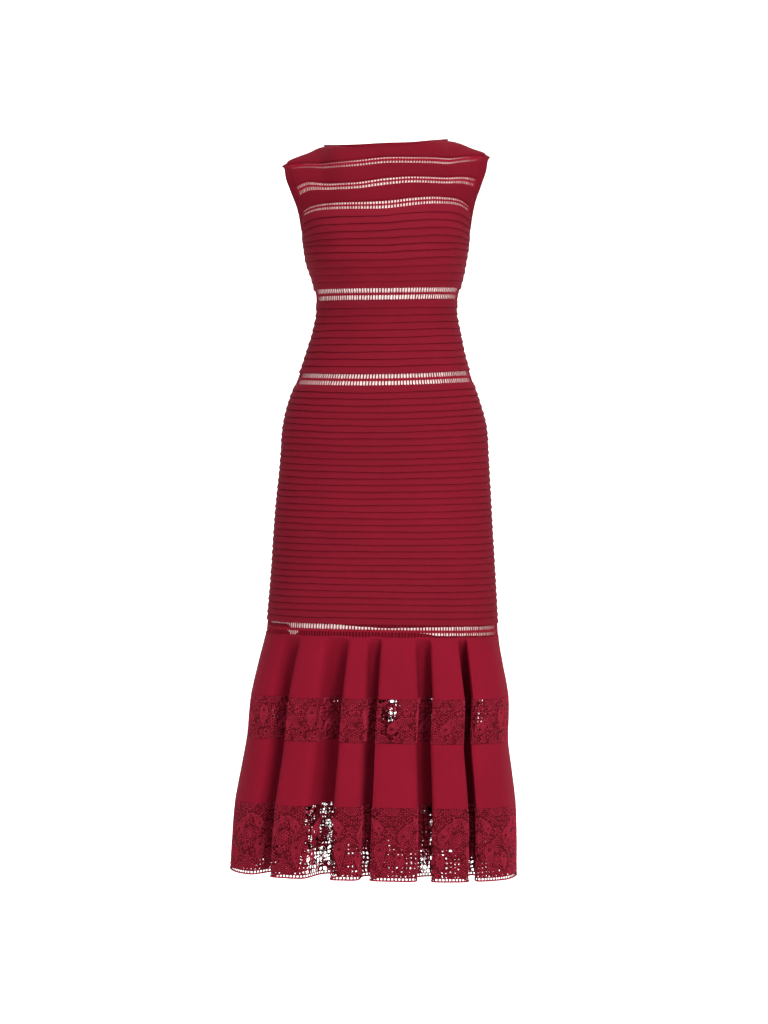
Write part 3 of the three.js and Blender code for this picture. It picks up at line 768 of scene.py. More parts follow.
@dataclass(frozen=True)
class Satin:
    """The smooth pale lining, with a faint crosswise slub, and a glow that is painted light."""

    name: str
    colour: Colour
    shadow: Colour
    roughness: float = 0.55
    # glow: painted light, an emission that makes the cloth brighter than the lamps light it
    glow: float = 0.0

    def material(self) -> bpy.types.Material:
        """Makes the material."""
        shader = Shader(self.name)
        slub = shader.noise(shader.place((0.2, 0.2, 1)), 900, 2, 0.6)
        cloud = shader.noise(shader.place(), 22, 2, 0.5)
        return shader.dress(
            Base_Color=shader.blend((cloud * 0.7 + slub * 0.3).clamp(), self.shadow, self.colour),
            Roughness=(slub * 0.15 + (self.roughness - 0.07)).clamp(),
            Normal=shader.bump(slub, 0.00012),
            # the emission is painted light, not a lamp
            Specular_IOR_Level=0.35,
            Emission_Color=self.colour,
            Emission_Strength=self.glow,
        )


@dataclass(frozen=True)
class Enamel:
    """Dyed enamel on metal, worn a little brighter in spots."""

    name: str
    colour: Colour
    worn: Colour
    roughness: float = 0.32
    metallic: float = 0.6

    def material(self) -> bpy.types.Material:
        """Makes the material."""
        shader = Shader(self.name)
        place = shader.place()
        wear = shader.noise(place, 700, 3, 0.6)
        scuff = shader.noise(place, 2600, 2, 0.5)
        mask = (wear * 3.2 - 1.9).clamp()
        return shader.dress(
            Base_Color=shader.blend(mask, self.colour, self.worn),
            Metallic=self.metallic,
            Roughness=(scuff * 0.2 + (self.roughness - 0.08)).clamp(),
            Normal=shader.bump(scuff, 0.00003),
            Coat_Weight=0.3,
        )


@dataclass(frozen=True)
class Plaster:
    """The studio's pale floor and backdrop."""

    name: str
    colour: Colour = (0.86, 0.86, 0.86)
    glow: float = 0.75

    def material(self) -> bpy.types.Material:
        """Makes the material."""
        shader = Shader(self.name)
        cloud = shader.noise(shader.place(), 1.5, 2, 0.5)
        return shader.dress(
            Base_Color=shader.blend(cloud, tuple(part * 0.98 for part in self.colour), self.colour),
            Roughness=0.9,
            Emission_Color=(1, 1, 1),
            Emission_Strength=self.glow,
        )


class Finishes:
    """Every finish of the dress, made once."""

    def __init__(self) -> None:
        """Makes the materials."""
        self.tucked = Crepe("tucked_crepe", (0.155, 0.0056, 0.0150)).material()
        # a darker copy of the tucked crepe, painted shade for the tucks' undersides, the creases under them
        # and the knee allowances
        self.fold = Crepe("tucked_crepe_painted_fold_shade", (0.088, 0.0025, 0.0075)).material()
        self.plain = Crepe("plain_crepe", (0.128, 0.0032, 0.0105)).material()
        self.flounce = Crepe("flounce_crepe", (0.185, 0.0045, 0.0162)).material()
        self.ladder = Cord("ladder_thread", (0.15, 0.0022, 0.010), (0.24, 0.006, 0.020)).material()
        # the lace's ground and bars take a darker thread as painted shade, and the raised cords a lighter one
        # as painted highlight
        self.lace_ground_painted_shade = Cord("lace_ground_painted_shade", (0.062, 0.0008, 0.004), (0.12, 0.0024, 0.0085)).material()
        self.lace_cord_painted_highlight = Cord("lace_raised_cord_painted_highlight", (0.23, 0.008, 0.024), (0.36, 0.022, 0.05)).material()
        self.hem_cord = Cord("hem_cord_thread", (0.22, 0.009, 0.022), (0.34, 0.02, 0.042)).material()
        self.stitch = Cord("sewing_thread", (0.1, 0.003, 0.009), (0.15, 0.006, 0.015), ply=2400).material()
        # the lining's glow is painted light, a self-lit brightness so that it reads pale through the trims'
        # holes
        self.lining = Satin("lining_satin", (0.97, 0.84, 0.82), (0.93, 0.76, 0.74), glow=0.24).material()
        self.tape = Crepe("zip_tape_weave", (0.06, 0.004, 0.008), grain=2600, sheen=0.05).material()
        self.metal = Enamel("zip_enamel", (0.11, 0.007, 0.014), (0.4, 0.2, 0.2)).material()


# ---------------------------------------------------------------- joining pieces to the frame


@dataclass
class Fitter:
    """Puts finished pieces on the frame and keeps their names for the log."""

    made: list[str] = field(default_factory=list)

    def fit(
        self, piece: bpy.types.Object, nodes: tuple[str, ...] = (), body: str = DRESS
    ) -> bpy.types.Object:
        """Makes a piece ride on its body.

        Args:
            piece: the piece.
            nodes: the solids that it stands for.
            body: the body that carries it.

        Returns:
            The piece.
        """
        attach(piece, body)
        if nodes:
            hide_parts(*nodes)
        triangles = sum(len(face.vertices) - 2 for face in piece.data.polygons)
        log.info("%s on %s: %d triangles", piece.name, body, triangles)
        self.made.append(piece.name)
        return piece

    def declare(self, piece: bpy.types.Object, cut: tuple[float, float], held: str, **facts: Any) -> None:
        """Takes the flat cut of a sheet, given in millimetres, and does nothing with it."""
        cut[0] * MM
        cut[1] * MM


# ---------------------------------------------------------------- the cut of the body


@dataclass(frozen=True)
class Panel:
    """One of the three panels round the body, between two stations."""

    name: str
    side: Side
    start: float
    end: float
    columns: int


@dataclass(frozen=True)
class Crease:
    """A soft ridge or trough in the cloth, from one place to another as seen from its side."""

    side: Side
    start: tuple[float, float]
    end: tuple[float, float]
    width: float
    height: float

    def relief(self, points: Array) -> Array:
        """How far the crease lifts each point."""
        a, b = np.array(self.start), np.array(self.end)
        flat = points[..., [0, 2]] - a
        t = np.clip((flat @ (b - a)) / ((b - a) @ (b - a)), 0, 1)
        away = np.linalg.norm(flat - t[..., None] * (b - a), axis=-1)
        fade = np.sin(math.pi * np.clip(t, 0.04, 0.96)) ** 0.6
        return self.height * fade * np.exp(-((away / self.width) ** 2))


@dataclass(frozen=True)
class BodyCut:
    """The seams across the body, and the patches of form between them."""

    form: BodyForm = field(default_factory=BodyForm)
    seam_inset: float = 0.0012
    panels: tuple[Panel, ...] = (
        Panel("front", Side.FRONT, -1, 1, 85),
        Panel("back_right", Side.BACK, -1, 0, 45),
        Panel("back_left", Side.BACK, 0, 1, 45),
    )
    round_seams: dict[str, Seam] = field(
        default_factory=lambda: {
            "ladder_4_top": Seam(-237.2, -2.4, -1, -1.6),
            "ladder_4_foot": Seam(-257.7, -2.4, -1, -1.6),
            "ladder_5_top": Seam(-377.1, -5, -3, -2.2),
            "ladder_5_foot": Seam(-397.1, -5, -3, -2.2),
            "ladder_6_top": Seam(-803, 3.1, 1, 3.1),
            "ladder_6_foot": Seam(-825, 3.1, 1, 3.1),
        }
    )
    yoke_ladders: dict[tuple[str, Side], Ladder] = field(
        default_factory=lambda: {
            ("ladder_1", Side.FRONT): Ladder(
                (-30.5, -29, -31.3, -29, -23.9, -23.8, -24, -18, -15.5),
                (4.3, 5, 5.4, 6, 6, 6, 6.2, 5.8, 4.2),
            ),
            ("ladder_2", Side.FRONT): Ladder(
                (-75.5, -66.5, -69, -67.8, -61.5, -58.1, -58.5, -56.5, -60.5),
                (9, 8.6, 6.2, 6.3, 6.6, 6.1, 6.1, 7, 8),
            ),
            ("ladder_3", Side.FRONT): Ladder(
                (-114, -105, -102.6, -102.6, -101.5, -96, -92.8, -94.5, -107),
                (4.5, 5.8, 6.5, 6.8, 7.4, 7.2, 6.7, 6, 4.5),
            ),
            ("ladder_1", Side.BACK): Ladder(
                (-32, -31, -29, -27, -27, -25, -18), (4.3, 5, 6, 6, 6, 5.5, 4.2)
            ),
            ("ladder_2", Side.BACK): Ladder(
                (-73, -69, -66, -63, -62, -61, -61), (8, 7, 6.2, 6.2, 6.2, 6.6, 7.5)
            ),
            ("ladder_3", Side.BACK): Ladder(
                (-113, -105, -103, -101, -99, -98, -106), (5, 6, 6.5, 7, 6.5, 6, 5)
            ),
        }
    )
    creases: tuple[Crease, ...] = (
        Crease(Side.FRONT, (-132, -150), (-70, -128), 9, 2.2),
        Crease(Side.FRONT, (-134, -172), (-78, -176), 11, -2.0),
        Crease(Side.FRONT, (132, -146), (80, -130), 9, 1.8),
        Crease(Side.FRONT, (130, -176), (74, -184), 11, -1.8),
        Crease(Side.FRONT, (-150, -60), (-96, -84), 10, 1.6),
        Crease(Side.FRONT, (146, -52), (98, -74), 10, 1.4),
        Crease(Side.FRONT, (-112, -290), (-40, -300), 12, -1.6),
        Crease(Side.FRONT, (110, -300), (46, -292), 12, -1.4),
        Crease(Side.FRONT, (-165, -470), (-60, -520), 26, 1.8),
        Crease(Side.FRONT, (150, -500), (60, -560), 26, -1.6),
        Crease(Side.FRONT, (-120, -660), (30, -690), 30, 1.5),
        Crease(Side.BACK, (-118, -262), (-30, -276), 10, 2.4),
        Crease(Side.BACK, (116, -268), (24, -284), 10, 2.2),
        Crease(Side.BACK, (-108, -300), (-22, -296), 10, -2.2),
        Crease(Side.BACK, (104, -306), (30, -300), 10, -1.8),
        Crease(Side.BACK, (-130, -140), (-62, -118), 10, 1.8),
        Crease(Side.BACK, (128, -136), (66, -112), 10, 1.6),
        Crease(Side.BACK, (-140, -520), (-40, -560), 28, -1.6),
        Crease(Side.BACK, (130, -540), (36, -570), 28, 1.6),
    )

    def height(self, seam: str, side: Side, s: Array) -> Array:
        """The height of a seam at stations s. "top" is the top edge."""
        if seam == "top":
            return self.form.top(side, s)
        if seam in self.round_seams:
            return self.round_seams[seam].height(side, np.sin(s * QUARTER))
        ladder, edge = seam.rsplit("_", 1)
        return self.yoke_ladders[ladder, side].edge(s, 1 if edge == "top" else -1)

    def shape(self, side: Side, s: Array, z: Array) -> Patch:
        """The form with its creases at a grid of stations and heights, its rows even up each column."""
        patch = Patch(self.form.point(side, s, z), outward=-side.away)
        lift = sum(crease.relief(patch.points) for crease in self.creases if crease.side is side)
        return even_rows(replace(patch, points=patch.points + patch.normals * np.asarray(lift)[..., None]))

    def patch(self, panel: Panel, foot: str, head: str, rows: int = 33) -> Patch:
        """The form of a piece between two seams.

        Args:
            panel: the panel that it belongs to.
            foot: its lower seam.
            head: its upper seam.
            rows: how many rows of points it has.

        Returns:
            The patch, its rows even along the cloth.
        """
        ends = [end * (1 - self.seam_inset) if end else 0.0 for end in (panel.start, panel.end)]
        s = np.linspace(*ends, panel.columns)[None]
        share = np.linspace(0, 1, rows)[:, None]
        if head == "top":
            share = 1 - (1 - share) ** 2
        z = lerp(self.height(foot, panel.side, s), self.height(head, panel.side, s), share)
        return self.shape(panel.side, s, z)


def even_rows(patch: Patch) -> Patch:
    """The patch again with the points of each column evenly apart."""
    p = patch.points
    steps = np.linalg.norm(np.diff(p, axis=0), axis=2)
    along = np.concatenate([np.zeros((1, p.shape[1])), np.cumsum(steps, axis=0)])
    wanted = np.linspace(0, 1, len(p))
    even = np.empty_like(p)
    for i in range(p.shape[1]):
        for axis in range(3):
            even[:, i, axis] = np.interp(wanted * along[-1, i], along[:, i], p[:, i, axis])
    return replace(patch, points=even)


# ---------------------------------------------------------------- pieces of the body


@dataclass(frozen=True)
class TuckedCloth:
    """A piece pressed into horizontal tucks whose folds lie downwards; each fold's underside and the crease
    under it are painted darker as shade.
    """

    name: str
    foot: str
    head: str
    tucks: int
    seed: int
    wall: float = 1.1
    # each point of a fold: how far above the tuck's line, and how far off the form
    fold: Rows = ((0.9, -0.3), (-0.2, 1.1), (0.0, 1.75), (1.2, 1.95), (4.2, 1.55), (7.6, 0.85))
    # the crease just under the next tuck's line, painted darker as shade
    gutter: tuple[float, float] = (0.75, 0.45)
    # the upper edge, turned under the ladder trim: distance from the seam, and how far off the form
    edge: Rows = ((-2.6, 0.75), (-0.5, 0.55), (0.3, 0.0), (0.9, -0.9))
    waver: float = 0.9
    flat_at_seam: float = 0.5
    seam_reach: float = 4.5
    groove: float = 1.1
    groove_reach: float = 1.3

    def build(self, cut: BodyCut, panel: Panel, finishes: Finishes, fitter: Fitter) -> None:
        """Makes the piece of one panel."""
        patch = cut.patch(panel, self.foot, self.head, rows=3 * self.tucks)
        u = patch.columns(panel.columns)
        tall = patch.height_at(u)
        from_edge = np.minimum(u, 1 - u) * patch.width
        ease = 1 - self.flat_at_seam * np.exp(-((from_edge / self.seam_reach) ** 2))
        groove = self.groove * np.exp(-((from_edge / self.groove_reach) ** 2))
        lines = [
            k / self.tucks + self.waver * Wander(self.seed + 7 * k)(u) / tall for k in range(self.tucks)
        ]
        lines[0] = 0 * u
        outer, inner, steps, painted_shade_rows = [], [], [], []
        for k, line in enumerate(lines):
            fuller = 1 + 0.16 * Wander(self.seed + 7 * k + 3)(u)
            steps.append(len(outer))
            # the fold's underside, up to its next row, is painted darker as shade
            painted_shade_rows.append(len(outer))
            inner.append(patch.place(u, line + self.fold[0][0] / tall, -self.wall - groove))
            for up, out in self.fold:
                outer.append(patch.place(u, line + up / tall, out * ease * fuller - groove))
            if k + 1 < self.tucks:
                # the crease from this row up under the next fold is painted darker as shade
                painted_shade_rows.append(len(outer))
                up, out = self.gutter
                outer.append(patch.place(u, lines[k + 1] - up / tall, out - groove))
        for up, out in self.edge:
            outer.append(patch.place(u, 1 + up / tall, out * ease - groove))
        steps.append(len(outer) - 1)
        inner.append(patch.place(u, 1 + self.edge[-1][0] / tall, self.edge[-1][1] - self.wall))
        maker = MeshMaker()
        maker.sheet(np.array(outer), np.array(inner), steps, flip=patch.outward < 0, painted_shade_rows=painted_shade_rows)
        node = f"{panel.name}_{self.name}"
        piece = maker.build(f"{node}_cloth", [finishes.tucked, finishes.fold])
        fitter.fit(piece, (node,))
        fitter.declare(piece, (patch.width, patch.height), "hung", area=patch.width * patch.height * MM**2)


@dataclass(frozen=True)
class PlainBand:
    """A plain band of the yoke, full between its seams, its edges rolled under."""

    name: str
    foot: str
    head: str
    wall: float = 0.95
    # distance in from the seam, and how far off the form
    roll: Rows = ((-1.0, -1.6), (-0.5, -0.9), (0.0, -0.1), (0.6, 0.7), (1.8, 1.25), (4.0, 1.5))
    neck_edge: Rows = ((-0.2, -0.5), (0.5, 0.2), (1.6, 0.6), (4.0, 0.9))
    inner_rows: int = 5
    groove: float = 1.1
    groove_reach: float = 1.4

    def build(self, cut: BodyCut, panel: Panel, finishes: Finishes, fitter: Fitter) -> None:
        """Makes the piece of one panel."""
        patch = cut.patch(panel, self.foot, self.head)
        u = patch.columns(panel.columns)
        tall = patch.height_at(u)
        upper = self.neck_edge if self.head == "top" else self.roll
        from_edge = np.minimum(u, 1 - u) * patch.width
        groove = self.groove * np.exp(-((from_edge / self.groove_reach) ** 2))
        rows = [(up / tall, out) for up, out in self.roll]
        low, high = self.roll[-1][0] / tall, 1 - upper[-1][0] / tall
        for share in np.linspace(0, 1, self.inner_rows + 2)[1:-1]:
            rows.append((lerp(low, high, share), lerp(self.roll[-1][1], upper[-1][1], share) + 0.2))
        rows += [(1 - up / tall, out) for up, out in reversed(upper)]
        outer = np.array([patch.place(u, v, out - groove) for v, out in rows])
        inner = np.array([patch.place(u, v, out - groove - self.wall) for v, out in rows])
        maker = MeshMaker()
        maker.sheet(outer, inner, flip=patch.outward < 0)
        node = f"{panel.name}_{self.name}"
        piece = maker.build(f"{node}_cloth", [finishes.plain])
        fitter.fit(piece, (node,))
        fitter.declare(piece, (patch.width, patch.height), "hung", area=patch.width * patch.height * MM**2)


@dataclass(frozen=True)
class LadderTrim:
    """Openwork trim: two rows of upright bars between three rails."""

    name: str
    foot: str
    head: str
    seed: int
    middle_rail: float = 4.2
    edge_rail: float = 2.6
    edge_shows: float = 0.7
    pitch: float = 4.5
    bar: float = 1.95
    wall: float = 0.9
    lift: float = -0.9
    tab: float = 6.5

    def build(self, cut: BodyCut, panel: Panel, finishes: Finishes, fitter: Fitter) -> None:
        """Makes the trim of one panel."""
        patch = cut.patch(panel, self.foot, self.head, rows=9)
        maker = MeshMaker()
        self.rails(maker, patch, panel.columns)
        self.bars(maker, patch)
        self.tabs(maker, patch)
        node = f"{panel.name}_{self.name}"
        piece = maker.build(f"{node}_trim", [finishes.ladder])
        fitter.fit(piece, (node,))

    def rails(self, maker: MeshMaker, patch: Patch, columns: int) -> None:
        """Adds the three rails."""
        u = np.linspace(0, 1, columns)
        tall = patch.height_at(u)
        hidden = (self.edge_rail / 2 - self.edge_shows) / tall
        widths = (self.edge_rail, self.rail_width(tall), self.edge_rail)
        for v, width in zip((-hidden, 0.5 + 0 * u, 1 + hidden), widths):
            path, normal = patch.look(u, v)
            path = (path + normal * self.lift)[None]
            maker.threads(path, normal[None], width, self.wall, section=HEXAGON)

    def rail_width(self, tall: Array) -> Array:
        """The width of the middle rail where the trim is so tall."""
        return np.minimum(self.middle_rail, tall * 0.45)

    def bars(self, maker: MeshMaker, patch: Patch) -> None:
        """Adds the upright bars of both rows, a little uneven in pitch, width and lean."""
        draw = np.random.default_rng(self.seed)
        span = patch.width - 2 * self.tab
        count = int(span / self.pitch)
        for row in (0, 1):
            u = (self.tab + (np.arange(count) + 0.5) * span / count) / patch.width
            u = u + draw.normal(0, 0.16, count) / patch.width
            tall = patch.height_at(u)
            lean = draw.normal(0, 0.22, count) / patch.width
            middle = self.rail_width(tall) / 2 / tall
            low = np.where(row, 0.5 + middle, self.edge_shows / tall) - 0.5 / tall
            high = np.where(row, 1 - self.edge_shows / tall, 0.5 - middle) + 0.5 / tall
            share = np.array([0, 0.2, 0.8, 1])
            at_u = u[:, None] + lean[:, None] * (share - 0.5)
            at_v = lerp(low[:, None], high[:, None], share)
            path, normal = patch.look(at_u, at_v)
            path = path + normal * self.lift
            waist = np.array([1.5, 0.95, 0.95, 1.5]) * self.bar
            width = waist * draw.uniform(0.85, 1.2, count)[:, None]
            maker.threads(path, normal, width, self.wall * 0.9, section=HEXAGON)

    def tabs(self, maker: MeshMaker, patch: Patch) -> None:
        """Adds the closed ends of the trim, caught in the side seams."""
        reach = self.tab / patch.width
        for start, end in ((0, reach), (1 - reach, 1)):
            u = np.linspace(start, end, 6)[None]
            v = np.array([-0.08, 0.5, 1.08])[:, None]
            outer = patch.place(u, v, self.lift + 0.35)
            inner = patch.place(u, v, self.lift - 0.35)
            maker.sheet(outer, inner, flip=patch.outward < 0)


@dataclass(frozen=True)
class PaintedShadeAllowances:
    """The wavy seam allowances that lie behind the trim at the knee, in the darker crepe that is painted
    shade, so that they show dark as shade through its holes.
    """

    foot: str = "ladder_6_foot"
    head: str = "ladder_6_top"
    wall: float = 0.4
    # where each strip starts up the trim, and how far off the cloth's face it lies
    low_start: float = -0.12
    low_depth: float = -2.1
    middle_start: float = 0.46
    middle_depth: float = -2.2
    high_start: float = 1.12
    high_depth: float = -2.0
    waver: float = 0.025
    waver_speed: float = 6
    seed: int = 71
    # station, height of the edge as a share of the trim's height
    low: Rows = (
        (-1, 0.4), (-0.6, 0.4), (-0.57, 0.02), (-0.53, 0.02),
        (-0.5, 0.5), (0.15, 0.5), (0.3, 0.2), (1, 0.14),
    )
    middle: Rows = ((-1, 0.84), (-0.6, 0.86), (-0.57, 0.5), (-0.2, 0.52), (0.1, 0.54), (0.3, 0.5), (1, 0.52))
    high: Rows = ((-1, 0.97), (-0.3, 1.0), (-0.14, 0.82), (0, 0.72), (0.18, 0.78), (0.35, 0.86), (1, 0.88))

    def build(self, cut: BodyCut, panel: Panel, finishes: Finishes, fitter: Fitter) -> None:
        """Makes the three strips of one panel."""
        patch = cut.patch(panel, self.foot, self.head, rows=9)
        u = patch.columns(panel.columns)
        s = lerp(panel.start, panel.end, u)
        maker = MeshMaker()
        strips = (
            (self.low_start, self.low, self.low_depth),
            (self.middle_start, self.middle, self.middle_depth),
            (self.high_start, self.high, self.high_depth),
        )
        for start, edge, depth in strips:
            end = np.interp(s, [row[0] for row in edge], [row[1] for row in edge])
            end = end + self.waver * Wander(self.seed)(u * self.waver_speed)
            rows = sorted((start + 0 * u, end), key=lambda row: float(row.mean()))
            outer = np.array([patch.place(u, v, depth) for v in rows])
            inner = np.array([patch.place(u, v, depth - self.wall) for v in rows])
            maker.sheet(outer, inner, flip=patch.outward < 0)
        # the strips take the darker crepe, painted shade
        piece = maker.build(f"{panel.name}_knee_allowances_painted_shade", [finishes.fold])
        fitter.fit(piece)


@dataclass(frozen=True)
class Lining:
    """The pale lining of one side, from behind the yoke to the knee."""

    side: Side
    seed: int
    columns: int = 61
    rows: int = 60
    hem_rise: float = 4
    hem_wave: float = 7
    top_share: float = 0.93
    drop: float = 3.0
    zip_drop: float = 1.4
    wall: float = 0.7
    reach: float = 0.985

    def build(self, cut: BodyCut, finishes: Finishes, fitter: Fitter) -> None:
        """Makes the lining."""
        s = np.linspace(-self.reach, self.reach, self.columns)[None]
        hem = self.hem_rise + cut.round_seams["ladder_6_foot"].height(self.side, np.sin(s * QUARTER))
        hem = hem - self.hem_wave * (0.5 + 0.5 * Wander(self.seed)(s / 2 + 0.5))
        top = lerp(cut.form.underarm, cut.form.top(self.side, s), self.top_share)
        patch = cut.shape(self.side, s, lerp(hem, top, np.linspace(0, 1, self.rows)[:, None]))
        u = patch.columns(self.columns)[None]
        v = np.linspace(0, 1, self.rows)[:, None]
        drop = self.drop + 0 * (u + v)
        if self.side is Side.BACK:
            drop = drop + self.zip_drop * np.exp(-(((u - 0.5) * patch.width / 22) ** 2))
        outer = patch.place(u, v, -drop)
        inner = patch.place(u, v, -drop - self.wall)
        maker = MeshMaker()
        maker.sheet(outer, inner, flip=patch.outward < 0)
        node = f"lining_{self.side.value}"
        piece = maker.build(f"{node}_cloth", [finishes.lining])
        fitter.fit(piece, (node,))
        cut_size = (float(patch.widths.max()), patch.height)
        area = patch.width * patch.height * MM**2
        fitter.declare(piece, cut_size, "hung", area=area)


# ---------------------------------------------------------------- bindings


@dataclass(frozen=True)
class Binding:
    """A folded binding with a row of stitches, swept round an opening."""

    node: str
    # across the binding: share of its width, and how far off its face
    section: Rows = (
        (-0.16, -0.75),
        (0.0, -0.1),
        (0.12, 0.32),
        (0.4, 0.45),
        (0.75, 0.42),
        (0.93, 0.15),
        (1.0, -0.6),
        (0.93, -1.35),
        (0.6, -1.6),
        (0.1, -1.6),
        (-0.16, -1.45),
    )
    columns: int = 150
    stitch_at: float = 0.14
    stitch_pitch: float = 3.2

    def sweep(self, maker: MeshMaker, start: Array, along: Array, out: Array, width: Array) -> None:
        """Adds the binding round a closed line.

        Args:
            maker: where it goes.
            start: points of the line that it starts from.
            along: the direction across the binding at each point.
            out: the outward direction.
            width: its width there.
        """
        rings = [start + along * width[:, None] * share + out * lift for share, lift in self.section]
        rings = np.stack(rings, 1)
        maker.tube(rings, closed=True, flip=signed_volume(rings) < 0)
        line = start + along * width[:, None] * self.stitch_at + out * 0.42
        maker.stitches(line, out, self.stitch_pitch, 1)


def signed_volume(rings: Array) -> float:
    """The volume inside a closed sweep of rings, below 0 where its faces point inwards."""
    loop = np.concatenate([rings, rings[:, :1]], axis=1)
    loop = np.concatenate([loop, loop[:1]], axis=0)
    a, b, c, d = loop[:-1, :-1], loop[:-1, 1:], loop[1:, 1:], loop[1:, :-1]
    return float((a * np.cross(b, c)).sum() + (a * np.cross(c, d)).sum())


def closed_curve(sections: list[tuple[Array, ...]], count: int) -> list[Array]:
    """Runs smooth closed curves through a list of sections, each a tuple of vectors or numbers.

    Args:
        sections: the sections in order.
        count: how many places to read.

    Returns:
        One array for each member of the tuple, at even places along the first.
    """
    tables = [
        np.array([np.atleast_1d(section[k]) for section in sections], float)
        for k in range(len(sections[0]))
    ]
    steps = np.linalg.norm(np.roll(tables[0], -1, axis=0) - tables[0], axis=1)
    along = np.concatenate([[0], np.cumsum(steps)])
    at = np.linspace(0, along[-1], count, endpoint=False)
    i = np.searchsorted(along, at, side="right") - 1
    t = ((at - along[i]) / steps[i])[:, None]
    return [hermite_loop(table, steps, i, t) for table in tables]


def hermite_loop(table: Array, steps: Array, i: Array, t: Array) -> Array:
    """Reads a smooth loop through a table's rows, t of the way from row i to the next."""
    after, before = np.roll(table, -1, axis=0), np.roll(table, 1, axis=0)
    ahead = (after - table) / steps[:, None]
    behind = (table - before) / np.roll(steps, 1)[:, None]
    weight = (steps / (steps + np.roll(steps, 1)))[:, None]
    slope = lerp(ahead, behind, weight)
    k = (i + 1) % len(table)
    t2, t3 = t**2, t**3
    return (
        (2 * t3 - 3 * t2 + 1) * table[i]
        + (t3 - 2 * t2 + t) * slope[i] * steps[i][:, None]
        + (3 * t2 - 2 * t3) * table[k]
        + (t3 - t2) * slope[k] * steps[i][:, None]
    )


@dataclass(frozen=True)
class ArmholeBinding(Binding):
    """The binding of one armhole. hand is 1 on the wearer's left and -1 on the right."""

    hand: int = 1
    width: float = 9
    rises: tuple[float, ...] = (0.012, 0.06, 0.16, 0.32, 0.5, 0.68, 0.84, 0.95)
    clear_low: float = 5.2
    clear_high: float = 1.1
    under: float = 1.4

    def build(self, cut: BodyCut, finishes: Finishes, fitter: Fitter) -> None:
        """Makes the binding."""
        form = cut.form
        tip = float(form.top(Side.FRONT, np.float64(self.hand)))
        sections = [self.seam_section(form, form.underarm, (0, 0, 1), (self.hand, 0, 0), self.clear_low)]
        sections += [self.section_at(form, Side.FRONT, rise) for rise in self.rises]
        tip_along, tip_out = (self.hand * 0.87, 0, -0.5), (self.hand * 0.5, 0, 0.87)
        sections.append(self.seam_section(form, tip, tip_along, tip_out, self.clear_high))
        sections += [self.section_at(form, Side.BACK, rise) for rise in reversed(self.rises)]
        start, along, out, width = closed_curve(sections, self.columns)
        maker = MeshMaker()
        self.sweep(maker, start, unit(along), unit(out), width[:, 0])
        piece = maker.build(f"{self.node}_cloth", [finishes.plain, finishes.stitch])
        fitter.fit(piece, (self.node,))

    def section_at(self, form: BodyForm, side: Side, rise: float) -> tuple[Any, ...]:
        """One section: its start, its direction across, its outward direction and its width."""
        s = np.float64(self.hand)
        z = lerp(form.underarm, float(form.top(side, s)), rise)
        point, normal = form.point(side, s, z), form.normal(side, s, z)
        outwards = unit(point - form.point(side, s * 0.98, z))
        turn = float(ramp(np.float64(rise), 0.02, 0.3))
        along = lerp(np.array([0, 0, 1.0]), outwards, turn)
        along = unit(along - normal * (along @ normal))
        clear = lerp(self.clear_low, self.clear_high, turn)
        return self.open_section(point, along, normal, clear)

    def seam_section(self, form: BodyForm, z: float, along: Any, out: Any, clear: float) -> tuple[Any, ...]:
        """The section over a seam at height z."""
        point = form.point(Side.FRONT, np.float64(self.hand), z)
        return self.open_section(point, np.array(along, float), np.array(out, float), clear)

    def open_section(self, point: Array, along: Array, out: Array, clear: float) -> tuple[Any, ...]:
        """A section that starts just under the panel's edge."""
        reach = clear + self.width + self.under
        return point - along * self.under, along, out, reach


@dataclass(frozen=True)
class NeckBinding(Binding):
    """The binding that stands round the neck."""

    height: float = 5
    gap: float = 0.9
    under: float = 1.2
    stations: tuple[float, ...] = (-0.426, -0.28, -0.14, 0, 0.14, 0.28, 0.426)

    def build(self, cut: BodyCut, finishes: Finishes, fitter: Fitter) -> None:
        """Makes the binding."""
        sections = [self.section_at(cut.form, Side.FRONT, s) for s in self.stations]
        sections += [self.section_at(cut.form, Side.BACK, s) for s in self.stations[-2:0:-1]]
        start, along, out, width = closed_curve(sections, self.columns)
        maker = MeshMaker()
        self.sweep(maker, start, unit(along), unit(out), width[:, 0])
        piece = maker.build(f"{self.node}_cloth", [finishes.plain, finishes.stitch])
        fitter.fit(piece, (self.node,))

    def section_at(self, form: BodyForm, side: Side, station: float) -> tuple[Any, ...]:
        """One section: its start, its direction up, its outward direction and its width."""
        s = np.float64(station)
        z = float(form.top(side, s))
        point, normal = form.point(side, s, z), form.normal(side, s, z - 6)
        if abs(station) == form.neck_station:
            normal = normal + form.normal(Side.BACK, s, z - 6)
        along = unit(point - form.point(side, s, z - 3))
        along = unit(lerp(along, np.array([0, 0, 1.0]), 0.5))
        normal = unit(normal - along * (along @ normal))
        return point - along * self.under, along, normal, self.height + self.gap + self.under


# ---------------------------------------------------------------- flounce


@dataclass(frozen=True)
class Fold:
    """A fold of the flounce at the hem: its face's bearings, the depth of the hollow that the
    face slopes into, and how far the hollow before it runs under the face, as a share of it.
    0 degrees is the wearer's left and 90 the back."""

    start: float
    end: float
    valley: float
    tuck: float


